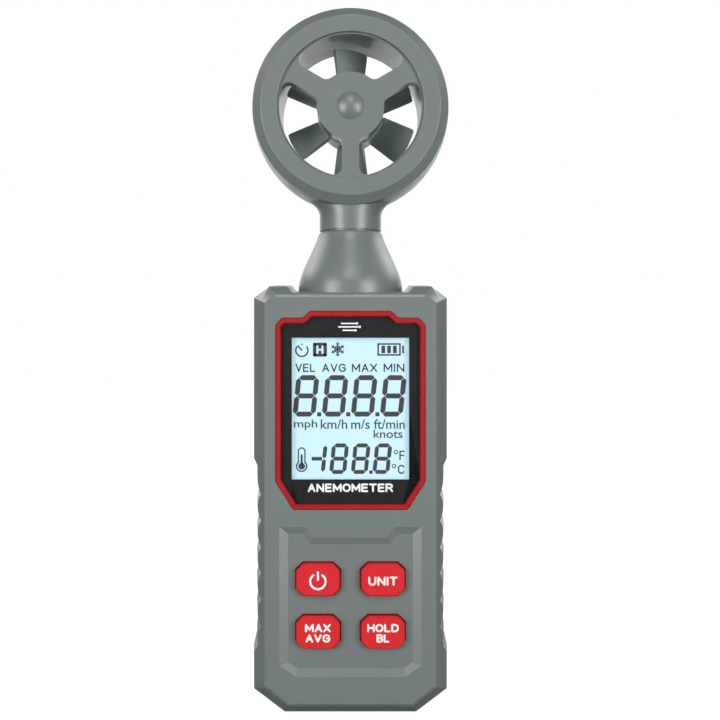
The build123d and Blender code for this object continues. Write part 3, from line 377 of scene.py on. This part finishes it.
def make_finishes():
    """Every finish of the instrument, by the record's slot name."""
    case = bpy.context.scene.anemometer_case
    display = bpy.context.scene.anemometer_display
    depth = case.grain_depth
    return {
        "case_grey": moulded("case_grey", case.grey, 0.37, depth=depth, wear_and_sheen=0.6, drift=0.035, specular=1.0,
                             rough_spread=0.08),
        "bezel_red": moulded("bezel_red", case.bezel_red, 0.33, grain=3500.0, depth=depth * 0.4, wear_and_sheen=0.35),
        "key_red": moulded("key_red", case.key_red, 0.30, grain=3200.0, depth=depth * 0.4, wear_and_sheen=0.45,
                           edge_gain=1.25),
        "window_clear": clear_glass("window_clear", 0.06, (0.010, 0.010, 0.012)),
        "mask_black": moulded("mask_black", (0.0105, 0.0105, 0.0115), 0.35, grain=4000.0, depth=depth * 0.2,
                              wear_and_sheen=0.0, drift=0.1),
        # the display glows: partly its backlight, partly painted light that makes up for the shade of its
        # pocket and window
        "lcd_glass": moulded("lcd_glass", display.glass, 0.30, grain=1200.0, depth=depth * 0.1, wear_and_sheen=0.0,
                             drift=0.03, emission=0.55),
        "frame_white": moulded("frame_white", (0.70, 0.71, 0.68), 0.45, depth=depth, wear_and_sheen=0.2),
        "light_guide": moulded("light_guide", (0.70, 0.82, 0.90), 0.25, grain=900.0, depth=depth, wear_and_sheen=0.1),
        "rubber_dark": moulded("rubber_dark", (0.020, 0.020, 0.021), 0.75, grain=1500.0, depth=depth,
                               wear_and_sheen=0.3),
        "board_green": moulded("board_green", (0.012, 0.090, 0.035), 0.30, grain=1800.0, depth=depth,
                               wear_and_sheen=0.5, coat=0.4),
        "chip_black": moulded("chip_black", (0.014, 0.014, 0.016), 0.55, grain=3000.0, depth=depth, wear_and_sheen=0.3),
        "steel": moulded("steel", (0.52, 0.53, 0.55), 0.28, grain=1400.0, depth=depth, wear_and_sheen=0.4, metallic=1.0,
                         edge_gain=1.2),
        "battery_jacket": moulded("battery_jacket", (0.030, 0.065, 0.170), 0.28, grain=900.0,
                                  depth=depth * 0.5, wear_and_sheen=0.6, coat=0.3, edge_gain=3.0),
        "spring_steel": moulded("spring_steel", (0.66, 0.66, 0.64), 0.22, grain=1400.0, depth=depth * 0.5,
                                wear_and_sheen=0.3, metallic=1.0, edge_gain=1.2),
        # lighter than the case grey: painted light for the shade inside the ring
        "impeller_dark": moulded("impeller_dark", case.blade_grey, 0.40, depth=depth * 0.7, wear_and_sheen=0.5),
        "nylon": moulded("nylon", (0.60, 0.57, 0.50), 0.5, depth=depth, wear_and_sheen=0.2),
        "lead_grey": moulded("lead_grey", (0.05, 0.05, 0.052), 0.6, grain=1500.0, depth=depth, wear_and_sheen=0.2),
        # the print glows a little: painted light that keeps the white print bright
        "print_white": moulded("print_white", case.legend, 0.5, grain=4000.0, depth=depth * 0.2, wear_and_sheen=0.0,
                               drift=0.06, emission=0.16),
        "segment_ink": moulded("segment_ink", display.ink, 0.6, grain=4000.0, depth=depth * 0.1, wear_and_sheen=0.0,
                               drift=0.12),
    }


FINISHES = {}


# ---------------------------------------------------------------- modelling helpers
def clear_selection():
    """Leave edit mode and deselect everything."""
    if bpy.context.object and bpy.context.object.mode != "OBJECT":
        bpy.ops.object.mode_set(mode="OBJECT")
    bpy.ops.object.select_all(action="DESELECT")


def settle(piece, matrix=None):
    """Bring an object's place into its mesh, and leave the object at the origin."""
    bpy.context.view_layer.update()
    piece.data.transform(piece.matrix_world)
    piece.matrix_world = Matrix.Identity(4)
    if matrix is not None:
        piece.data.transform(matrix)
    return piece


def finish_piece(piece, name, finish, body):
    """Name a piece, give it its finish and let it ride on its body."""
    piece.name = name
    piece.data.name = name
    piece.data.materials.clear()
    piece.data.materials.append(FINISHES[finish])
    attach(piece, body)
    return piece


def join(parts):
    """Join loose objects into one."""
    clear_selection()
    for part in parts:
        part.select_set(True)
    bpy.context.view_layer.objects.active = parts[0]
    if len(parts) > 1:
        bpy.ops.object.join()
    return parts[0]


def upright():
    """Turn from lying on the floor to facing the reader."""
    return Matrix.Rotation(math.pi / 2, 4, "X")


def fit_into(piece, left, right, low, high, front, thickness):
    """Stretch a flat piece that lies in X and Y to a rectangle of the front, in millimetres."""
    points = [v.co.copy() for v in piece.data.vertices]
    lo = Vector((min(p.x for p in points), min(p.y for p in points), min(p.z for p in points)))
    hi = Vector((max(p.x for p in points), max(p.y for p in points), max(p.z for p in points)))
    scale = Matrix.Diagonal(((right - left) * MM / (hi.x - lo.x), (high - low) * MM / (hi.y - lo.y),
                             thickness / (hi.z - lo.z), 1))
    piece.data.transform(Matrix.Translation(-lo))
    piece.data.transform(scale)
    piece.data.transform(upright())
    piece.data.transform(Matrix.Translation((left * MM, front, low * MM)))


def words(text, left, right, low, high, front, thickness, boldness=0.006):
    """A printed word that fills a rectangle of the front, in millimetres."""
    clear_selection()
    bpy.ops.object.text_add(location=(0, 0, 0))
    piece = bpy.context.object
    piece.data.body = text
    piece.data.extrude = 0.05
    piece.data.offset = boldness
    piece.data.resolution_u = 4
    bpy.ops.object.convert(target="MESH")
    piece = bpy.context.object
    fit_into(piece, left, right, low, high, front, thickness)
    return piece


def bar_segment(length, width, thickness):
    """One bar of a digit: a flat six-sided bar that lies along X, with pointed ends."""
    clear_selection()
    bpy.ops.mesh.primitive_cylinder_add(vertices=6, radius=width / math.sqrt(3), depth=thickness,
                                        rotation=(0, 0, math.pi / 6))
    piece = settle(bpy.context.object)
    for v in piece.data.vertices:
        tip = abs(v.co.y) < width * 0.25
        v.co.x = math.copysign(length / 2 if tip else (length - width) / 2, v.co.x)
    return piece


def copy_of(piece, matrix):
    """A copy with its own mesh, moved."""
    twin = piece.copy()
    twin.data = piece.data.copy()
    bpy.context.collection.objects.link(twin)
    twin.data.transform(matrix)
    return twin


def flat_disc(x, z, radius, front, thickness, hole=0.0, sides=40, opening=0.0):
    """A thin disc or ring on the front, in millimetres, open at the top over an angle."""
    clear_selection()
    bpy.ops.mesh.primitive_cylinder_add(vertices=sides, radius=radius * MM, depth=thickness)
    piece = settle(bpy.context.object)
    if hole:
        bpy.ops.object.mode_set(mode="EDIT")
        bpy.ops.mesh.select_mode(type="FACE")
        bpy.ops.mesh.select_all(action="DESELECT")
        bpy.ops.object.mode_set(mode="OBJECT")
        for face in piece.data.polygons:
            face.select = abs(face.normal.z) > 0.9
        bpy.ops.object.mode_set(mode="EDIT")
        bpy.ops.mesh.inset(thickness=(radius - hole) * MM, use_individual=True)
        bpy.ops.mesh.bridge_edge_loops()
        if opening:
            bpy.ops.mesh.select_all(action="DESELECT")
            bpy.ops.object.mode_set(mode="OBJECT")
            for face in piece.data.polygons:
                face.select = abs(math.atan2(face.center.x, face.center.y)) < opening / 2
            bpy.ops.object.mode_set(mode="EDIT")
            bpy.ops.mesh.delete(type="FACE")
            bpy.ops.mesh.select_mode(type="EDGE")
            bpy.ops.mesh.select_all(action="SELECT")
            bpy.ops.mesh.fill_holes(sides=8)
        bpy.ops.object.mode_set(mode="OBJECT")
    piece.data.transform(upright())
    piece.data.transform(Matrix.Translation((x * MM, front + thickness / 2, z * MM)))
    return piece


def flat_box(x, z, width, height, front, thickness, turn=0.0):
    """A thin rectangle on the front, in millimetres, turned about its middle."""
    clear_selection()
    bpy.ops.mesh.primitive_cube_add(size=1)
    piece = settle(bpy.context.object)
    piece.data.transform(Matrix.Diagonal((width * MM, thickness, height * MM, 1)))
    piece.data.transform(Matrix.Rotation(turn, 4, "Y"))
    piece.data.transform(Matrix.Translation((x * MM, front + thickness / 2, z * MM)))
    return piece


# each capital as lines on a grid six units high
LETTERS = {
    "A": [[(0, 0), (2, 6), (4, 0)], [(0.7, 2), (3.3, 2)]],
    "B": [[(0, 0), (0, 6), (2.6, 6), (3.5, 5.3), (3.5, 3.9), (2.6, 3.2), (0, 3.2)],
          [(2.6, 3.2), (3.8, 2.4), (3.8, 0.8), (2.8, 0), (0, 0)]],
    "C": [[(3.9, 4.8), (3, 5.8), (1.2, 5.8), (0, 4.5), (0, 1.5), (1.2, 0.1), (3, 0.1), (3.9, 1.2)]],
    "D": [[(0, 0), (0, 6), (2.4, 6), (3.9, 4.7), (3.9, 1.3), (2.4, 0), (0, 0)]],
    "E": [[(3.4, 6), (0, 6), (0, 0), (3.4, 0)], [(0, 3.1), (3, 3.1)]],
    "F": [[(3.4, 6), (0, 6), (0, 0)], [(0, 3.1), (3, 3.1)]],
    "G": [[(3.9, 4.8), (3, 5.8), (1.2, 5.8), (0, 4.5), (0, 1.5), (1.2, 0.1), (3, 0.1), (4, 1.2), (4, 2.9),
           (2.3, 2.9)]],
    "H": [[(0, 0), (0, 6)], [(4, 0), (4, 6)], [(0, 3.1), (4, 3.1)]],
    "I": [[(0, 0), (0, 6)]],
    "L": [[(0, 6), (0, 0), (3.2, 0)]],
    "M": [[(0, 0), (0, 6), (2.4, 1.4), (4.8, 6), (4.8, 0)]],
    "N": [[(0, 0), (0, 6), (4, 0), (4, 6)]],
    "O": [[(1.3, 5.9), (2.9, 5.9), (4.2, 4.5), (4.2, 1.5), (2.9, 0.1), (1.3, 0.1), (0, 1.5), (0, 4.5),
           (1.3, 5.9)]],
    "R": [[(0, 0), (0, 6), (2.7, 6), (3.7, 5.2), (3.7, 3.7), (2.7, 2.9), (0, 2.9)], [(2.2, 2.9), (3.9, 0)]],
    "T": [[(0, 6), (4, 6)], [(2, 6), (2, 0)]],
    "U": [[(0, 6), (0, 1.4), (1.2, 0.1), (2.8, 0.1), (4, 1.4), (4, 6)]],
    "V": [[(0, 6), (2, 0), (4, 6)]],
    "X": [[(0, 6), (4, 0)], [(0, 0), (4, 6)]],
}
LETTER_GAP = 1.9
LETTER_RISE = 6.0
ROUND_END_SIDES = 10


def stroke_word(text, left, right, low, high, stroke, front, thickness):
    """A word in capitals drawn with one stroke width, filling a rectangle, in millimetres."""
    widths = [max(x for line in LETTERS[c] for x, z in line) for c in text]
    total = sum(widths) + LETTER_GAP * (len(text) - 1)
    across = (right - left - stroke) / total
    rise = (high - low - stroke) / LETTER_RISE
    foot_x, foot_z = left + stroke / 2, low + stroke / 2
    pieces = []
    start = 0.0
    for c, width in zip(text, widths):
        for line in LETTERS[c]:
            points = [(foot_x + (start + x) * across, foot_z + z * rise) for x, z in line]
            for (x0, z0), (x1, z1) in zip(points, points[1:]):
                length = math.hypot(x1 - x0, z1 - z0)
                turn = math.atan2(x1 - x0, z1 - z0)
                middle_x, middle_z = (x0 + x1) / 2, (z0 + z1) / 2
                pieces.append(flat_box(middle_x, middle_z, stroke, length, front, thickness, turn=turn))
            for x, z in points:
                pieces.append(flat_disc(x, z, stroke / 2, front, thickness, sides=ROUND_END_SIDES))
        start += width + LETTER_GAP
    return join(pieces)


def seven_segments(left, low, width, height, bar, gap, slant, front, thickness, lit="abcdefg"):
    """The lit bars of one slanted digit, in metres."""
    half = height / 2
    reach = half - bar / 2
    across = width - bar
    level = bar_segment(across - gap, bar, thickness)
    stand = bar_segment(reach - gap, bar, thickness)
    stand.data.transform(Matrix.Rotation(math.pi / 2, 4, "Z"))
    middle_x = width / 2
    side = across / 2
    places = {
        "a": (level, 0, reach), "g": (level, 0, 0), "d": (level, 0, -reach),
        "f": (stand, -side, reach / 2), "b": (stand, side, reach / 2),
        "e": (stand, -side, -reach / 2), "c": (stand, side, -reach / 2),
    }
    bars = []
    for key in lit:
        source, x, y = places[key]
        bars.append(copy_of(source, Matrix.Translation((x, y, 0))))
    for spare in (level, stand):
        bpy.data.objects.remove(spare)
    digit = join(bars)
    lean = Matrix.Identity(4)
    lean[0][1] = math.tan(slant)
    digit.data.transform(lean)
    digit.data.transform(upright())
    digit.data.transform(Matrix.Translation((left + middle_x, front + thickness / 2, low + half)))
    return digit


# ---------------------------------------------------------------- operators
class ANEMOMETER_OT_finishes(bpy.types.Operator):
    """Give every part of the frame its finish"""

    bl_idname = "anemometer.finishes"
    bl_label = "Part finishes"

    def execute(self, context):
        FINISHES.update(make_finishes())
        slots = {part["node"]: part["material_slot"] for part in frame["record"]["subparts"]}
        for node, piece in frame["nodes"].items():
            piece.data.materials.clear()
            piece.data.materials.append(FINISHES[slots[node]])
        return {"FINISHED"}


class ANEMOMETER_OT_readings(bpy.types.Operator):
    """Lay the digits of the display"""

    bl_idname = "anemometer.readings"
    bl_label = "Digits"

    def execute(self, context):
        looks = context.scene.anemometer_display
        ink = looks.ink_thickness
        front = LCD_FACE - ink
        speed = []
        for i in range(4):
            speed.append(seven_segments((SPEED_LEFT + SPEED_PITCH * i) * MM, SPEED_LOW * MM, SPEED_WIDTH * MM,
                                        SPEED_HEIGHT * MM, looks.bar, SPEED_BAR_GAP * MM, looks.slant,
                                        front, ink))
        for i in range(3):
            speed.append(flat_box(SPEED_POINT_X + SPEED_PITCH * i, SPEED_POINT_Z, SPEED_POINT, SPEED_POINT,
                                  front, ink))
        finish_piece(join(speed), "speed_digits", "segment_ink", "handle")

        heat = []
        digits = [(left, "abcdefg") for left in HEAT_LEFTS] + [(HEAT_HUNDRED_LEFT, "bc")]
        for left, lit in digits:
            heat.append(seven_segments(left * MM, HEAT_LOW * MM, HEAT_WIDTH * MM, HEAT_HEIGHT * MM,
                                       looks.bar * HEAT_BAR_SHARE, HEAT_BAR_GAP * MM, looks.slant,
                                       front, ink, lit=lit))
        heat.append(flat_box(HEAT_MINUS_X, HEAT_MINUS_Z, HEAT_MINUS_WIDTH, HEAT_MINUS_HEIGHT, front, ink))
        heat.append(flat_box(HEAT_POINT_X, HEAT_POINT_Z, HEAT_POINT, HEAT_POINT, front, ink))
        finish_piece(join(heat), "temperature_digits", "segment_ink", "handle")
        return {"FINISHED"}


class ANEMOMETER_OT_captions(bpy.types.Operator):
    """Lay the words and units of the display"""

    bl_idname = "anemometer.captions"
    bl_label = "Display words"

    def execute(self, context):
        ink = context.scene.anemometer_display.ink_thickness
        front = LCD_FACE - ink
        pieces = [words(text, *place, front, ink) for text, *place in SPEED_UNITS]
        pieces += [stroke_word(text, *place, CAPITAL_STROKE, front, ink) for text, *place in CAPITAL_WORDS]
        for x, z in DEGREE_SIGNS:
            pieces.append(flat_disc(x, z, DEGREE_RADIUS, front, ink, hole=DEGREE_HOLE, sides=24))
        finish_piece(join(pieces), "display_words", "segment_ink", "handle")
        return {"FINISHED"}


def timer_symbol(front, ink):
    """An open dial with a hand and a knob."""
    return [
        flat_disc(TIMER_X, TIMER_Z, 1.9, front, ink, hole=1.48, sides=36, opening=math.radians(100)),
        flat_box(TIMER_X - 0.55, TIMER_Z + 0.65, 0.42, 1.9, front, ink, turn=-math.pi / 4.5),
        flat_disc(TIMER_X, TIMER_Z + 1.7, 0.24, front, ink, sides=16),
    ]


def hold_symbol(front, ink):
    """A filled square that leaves its letter clear."""
    pieces = []
    for side in (-1, 1):
        pieces.append(flat_box(BADGE_X + side * 1.475, BADGE_Z, 0.95, BADGE_SIZE, front, ink))
        pieces.append(flat_box(BADGE_X, BADGE_Z + side * 1.55, BADGE_SIZE, 0.8, front, ink))
        pieces.append(flat_box(BADGE_X, BADGE_Z + side * 0.75, 0.85, 1.0, front, ink))
    return pieces


def frost_symbol(front, ink):
    """Six arms with small barbs."""
    pieces = []
    for i in range(6):
        turn = math.pi / 3 * i
        ux, uz = math.sin(turn), math.cos(turn)
        pieces.append(flat_box(FROST_X + ux, FROST_Z + uz, 0.34, 2.0, front, ink, turn=turn))
        for lean in (-0.9, 0.9):
            for reach in (0.55, 1.25):
                barb_x = FROST_X + reach * ux + 0.28 * math.sin(turn + lean)
                barb_z = FROST_Z + reach * uz + 0.28 * math.cos(turn + lean)
                pieces.append(flat_box(barb_x, barb_z, 0.26, 0.75, front, ink, turn=turn + lean))
    return pieces


def gauge_symbol(front, ink):
    """A battery outline with three bars and its pole."""
    pieces = []
    for side in (-1, 1):
        pieces.append(flat_box(GAUGE_X + side * 3.05, GAUGE_Z, GAUGE_LINE, 3.5, front, ink))
        pieces.append(flat_box(GAUGE_X, GAUGE_Z + side * 1.53, 6.5, GAUGE_LINE, front, ink))
    for i in range(-1, 2):
        pieces.append(flat_box(GAUGE_X + 1.62 * i, GAUGE_Z, 1.05, 2.1, front, ink))
    pieces.append(flat_box(GAUGE_X + 3.93, GAUGE_Z, 0.55, 2.2, front, ink))
    return pieces


def thermometer_symbol(front, ink):
    """A filled bulb and column inside an outline."""
    pieces = [
        flat_disc(BULB_X, BULB_Z, 1.62, front, ink, hole=1.22, sides=36, opening=math.radians(70)),
        flat_disc(BULB_X, BULB_Z, 0.95, front, ink, sides=30),
        flat_box(BULB_X, BULB_Z + 1.85, 0.6, 2.9, front, ink),
        flat_box(BULB_X, BULB_Z + 5.1, 0.9, 0.34, front, ink),
    ]
    for side in (-1, 1):
        pieces.append(flat_box(BULB_X + side * 0.92, BULB_Z + 2.9, BULB_LINE, 3.5, front, ink))
        pieces.append(flat_box(BULB_X + side * 0.6, BULB_Z + 4.85, BULB_LINE, 0.85, front, ink,
                               turn=-side * math.pi / 4))
    return pieces


class ANEMOMETER_OT_symbols(bpy.types.Operator):
    """Lay the symbols of the display"""

    bl_idname = "anemometer.symbols"
    bl_label = "Display symbols"

    def execute(self, context):
        ink = context.scene.anemometer_display.ink_thickness
        front = LCD_FACE - ink
        pieces = []
        for symbol in (timer_symbol, hold_symbol, frost_symbol, gauge_symbol, thermometer_symbol):
            pieces += symbol(front, ink)
        finish_piece(join(pieces), "display_symbols", "segment_ink", "handle")
        return {"FINISHED"}


class ANEMOMETER_OT_print(bpy.types.Operator):
    """Print the word and the wind mark on the black mask"""

    bl_idname = "anemometer.print"
    bl_label = "Mask print"

    def execute(self, context):
        ink = context.scene.anemometer_display.ink_thickness
        front = WINDOW_FACE - ink
        pieces = [stroke_word(*MASK_WORD, MASK_STROKE, front, ink)]
        # a plain wind mark: three strokes that end in a drop
        for row, reach in enumerate(WIND_REACHES):
            z = WIND_TOP - WIND_PITCH * row
            pieces.append(flat_box(WIND_X, z, reach, WIND_LINE, front, ink))
            pieces.append(flat_disc(WIND_X + reach / 2, z, 0.34, front, ink, sides=20))
        finish_piece(join(pieces), "mask_print", "print_white", "handle")
        return {"FINISHED"}


def key_middle(key, ink):
    """The middle of a key's front in millimetres, and the face of its print in metres."""
    low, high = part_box(key + "_key")
    return (low[0] + high[0]) / 2 / MM, (low[2] + high[2]) / 2 / MM, low[1] - ink


class ANEMOMETER_OT_legends(bpy.types.Operator):
    """Print the legends on the four keys"""

    bl_idname = "anemometer.legends"
    bl_label = "Key legends"

    def execute(self, context):
        ink = context.scene.anemometer_display.ink_thickness
        for key, rows in KEY_LEGENDS.items():
            x, z, front = key_middle(key, ink)
            pieces = []
            for text, width, height, lift in rows:
                pieces.append(stroke_word(text, x - width / 2, x + width / 2, z + lift - height / 2,
                                          z + lift + height / 2, KEY_STROKE, front, ink))
            finish_piece(join(pieces), key + "_legend", "print_white", key + "_key")
        x, z, front = key_middle("power", ink)
        z -= POWER_DROP
        arc = flat_disc(x, z, POWER_RADIUS, front, ink, hole=POWER_HOLE, sides=48, opening=math.radians(60))
        bar = flat_box(x, z + 1.5, POWER_RADIUS - POWER_HOLE, 2.5, front, ink)
        finish_piece(join([arc, bar]), "power_legend", "print_white", "power_key")
        return {"FINISHED"}


def wind_spring(x, y, start, stop, turns):
    """One tapered coil from start to stop along a cell, in metres."""
    wire = SPRING_WIRE * MM
    steps = STEPS_IN_TURN * turns
    clear_selection()
    bpy.ops.mesh.primitive_circle_add(vertices=WIRE_SIDES, radius=wire, rotation=(math.pi / 2, 0, 0),
                                      location=(x + SPRING_RADIUS * MM, y, start))
    coil = settle(bpy.context.object)
    bpy.ops.object.mode_set(mode="EDIT")
    bpy.ops.mesh.select_all(action="SELECT")
    bpy.ops.mesh.edge_face_add()
    bpy.ops.mesh.spin(steps=steps, angle=2 * math.pi * turns, center=(x, y, start), axis=(0, 0, 1))
    bpy.ops.object.mode_set(mode="OBJECT")
    for index, v in enumerate(coil.data.vertices):
        share = min(1.0, (index // WIRE_SIDES) / steps)
        shrink = 1 - SPRING_TAPER * share
        v.co = (x + (v.co.x - x) * shrink, y + (v.co.y - y) * shrink, v.co.z + (stop - start) * share)
    bpy.ops.object.mode_set(mode="EDIT")
    bpy.ops.mesh.select_all(action="SELECT")
    bpy.ops.mesh.normals_make_consistent(inside=False)
    bpy.ops.object.mode_set(mode="OBJECT")
    return coil


class ANEMOMETER_OT_springs(bpy.types.Operator):
    """Wind the battery springs"""

    bl_idname = "anemometer.springs"
    bl_label = "Battery springs"

    def execute(self, context):
        turns = context.scene.anemometer_battery.turns
        wire = SPRING_WIRE * MM
        low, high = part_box("contact_springs")
        coils = []
        for cell, at_bottom in (("battery_1", True), ("battery_2", False), ("battery_3", True)):
            can_low, can_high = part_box(cell)
            x, y = (can_low[0] + can_high[0]) / 2, (can_low[1] + can_high[1]) / 2
            if at_bottom:
                start, stop = low[2] + wire, can_low[2] - wire
            else:
                start, stop = high[2] - wire, can_high[2] + wire
            coils.append(wind_spring(x, y, start, stop, turns))
        springs = join(coils)
        bpy.ops.object.shade_smooth()
        finish_piece(springs, "battery_springs", "spring_steel", "handle")
        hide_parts("contact_springs")
        return {"FINISHED"}


def lay_floor(drop):
    """A floor that is white to the camera and dark to the instrument."""
    clear_selection()
    bpy.ops.mesh.primitive_plane_add(size=FLOOR_SIZE, location=(0, 0, -drop))
    floor = settle(bpy.context.object)
    floor.name = "studio_floor"
    material = bpy.data.materials.new("studio_floor")
    material.use_nodes = True
    tree = material.node_tree
    shader = tree.nodes["Principled BSDF"]
    shader.inputs["Base Color"].default_value = (0.02, 0.02, 0.02, 1)
    shader.inputs["Roughness"].default_value = 0.9
    shader.inputs["Specular IOR Level"].default_value = 0.0
    shader.inputs["Emission Color"].default_value = (1, 1, 1, 1)
    shader.inputs["Emission Strength"].default_value = 1.05
    dark = add_node(tree, "ShaderNodeBsdfDiffuse", Color=(0.16, 0.17, 0.18, 1))
    ray = add_node(tree, "ShaderNodeLightPath")
    mix = add_node(tree, "ShaderNodeMixShader", {0: ray.outputs["Is Camera Ray"],
                   1: dark.outputs[0], 2: shader.outputs[0]})
    tree.links.new(mix.outputs[0], tree.nodes["Material Output"].inputs["Surface"])
    floor.data.materials.append(material)
    return floor


def light_world(scene):
    """Surroundings that are white to the camera and dim to the instrument."""
    world = scene.world or bpy.data.worlds.new("studio")
    scene.world = world
    world.use_nodes = True
    tree = world.node_tree
    tree.nodes.clear()
    out = add_node(tree, "ShaderNodeOutputWorld")
    bright = add_node(tree, "ShaderNodeBackground", Color=(1, 1, 1, 1), Strength=1.0)
    soft = add_node(tree, "ShaderNodeBackground", Color=(0.95, 0.98, 1, 1), Strength=0.10)
    ray = add_node(tree, "ShaderNodeLightPath")
    choose = add_node(tree, "ShaderNodeMixShader", {0: ray.outputs["Is Camera Ray"],
                      1: soft.outputs[0], 2: bright.outputs[0]})
    tree.links.new(choose.outputs[0], out.inputs["Surface"])


def hang_softboxes(scene, looks):
    """Softboxes round the middle of the instrument, each facing it."""
    centre = Vector((0, 0, looks.height))
    for name, azimuth, elevation, distance, wide, tall, power in SOFTBOXES:
        a, e = math.radians(azimuth), math.radians(elevation)
        away = Vector((math.sin(a) * math.cos(e), -math.cos(a) * math.cos(e), math.sin(e)))
        lamp = bpy.data.lights.new(name, "AREA")
        lamp.shape = "RECTANGLE"
        lamp.size, lamp.size_y, lamp.energy = wide, tall, getattr(looks, power)
        light = bpy.data.objects.new(name, lamp)
        scene.collection.objects.link(light)
        light.location = centre + away * distance
        light.rotation_mode = "QUATERNION"
        light.rotation_quaternion = (-away).to_track_quat("-Z", "Y")
        light.visible_camera = False


def place_camera(scene, looks):
    """A level camera in front of the instrument."""
    lens = bpy.data.cameras.new("camera")
    lens.sensor_width = SENSOR_WIDTH
    lens.lens = looks.lens
    lens.shift_x = CAMERA_SHIFT
    lens.clip_start = 0.01
    camera = bpy.data.objects.new("camera", lens)
    scene.collection.objects.link(camera)
    camera.location = (0, CASE_FACE - looks.distance, looks.height)
    camera.rotation_euler = (math.pi / 2, 0, 0)
    scene.camera = camera


class ANEMOMETER_OT_studio(bpy.types.Operator):
    """Set the floor, the lights and the camera"""

    bl_idname = "anemometer.studio"
    bl_label = "Studio"

    def execute(self, context):
        scene = context.scene
        looks = scene.anemometer_studio
        scene.view_settings.view_transform = "Standard"
        floor = lay_floor(looks.floor_drop)
        light_world(scene)
        hang_softboxes(scene, looks)
        place_camera(scene, looks)
        return {"FINISHED"}


OPERATORS = (ANEMOMETER_OT_finishes, ANEMOMETER_OT_readings, ANEMOMETER_OT_captions, ANEMOMETER_OT_symbols,
             ANEMOMETER_OT_print, ANEMOMETER_OT_legends, ANEMOMETER_OT_springs, ANEMOMETER_OT_studio)


class ANEMOMETER_PT_panel(bpy.types.Panel):
    """Lists the settings and the steps"""

    bl_label = "Vane anemometer"
    bl_idname = "ANEMOMETER_PT_panel"
    bl_space_type = "VIEW_3D"
    bl_region_type = "UI"
    bl_category = "Anemometer"

    def draw(self, context):
        for name, group in PROPERTY_GROUPS:
            box = self.layout.box()
            for key in group.__annotations__:
                box.prop(getattr(context.scene, name), key)
        for operator in OPERATORS:
            self.layout.operator(operator.bl_idname)


def register():
    """Register the settings, the steps and the panel."""
    for name, group in PROPERTY_GROUPS:
        bpy.utils.register_class(group)
        setattr(bpy.types.Scene, name, PointerProperty(type=group))
    for operator in OPERATORS:
        bpy.utils.register_class(operator)
    bpy.utils.register_class(ANEMOMETER_PT_panel)


def unregister():
    """Take back everything that register added."""
    bpy.utils.unregister_class(ANEMOMETER_PT_panel)
    for operator in reversed(OPERATORS):
        bpy.utils.unregister_class(operator)
    for name, group in reversed(PROPERTY_GROUPS):
        delattr(bpy.types.Scene, name)
        bpy.utils.unregister_class(group)


def main():
    """Build the looks round the frame."""
    register()
    for operator in OPERATORS:
        area, name = operator.bl_idname.split(".")
        getattr(getattr(bpy.ops, area), name)()


if __name__ == "__main__":
    main()
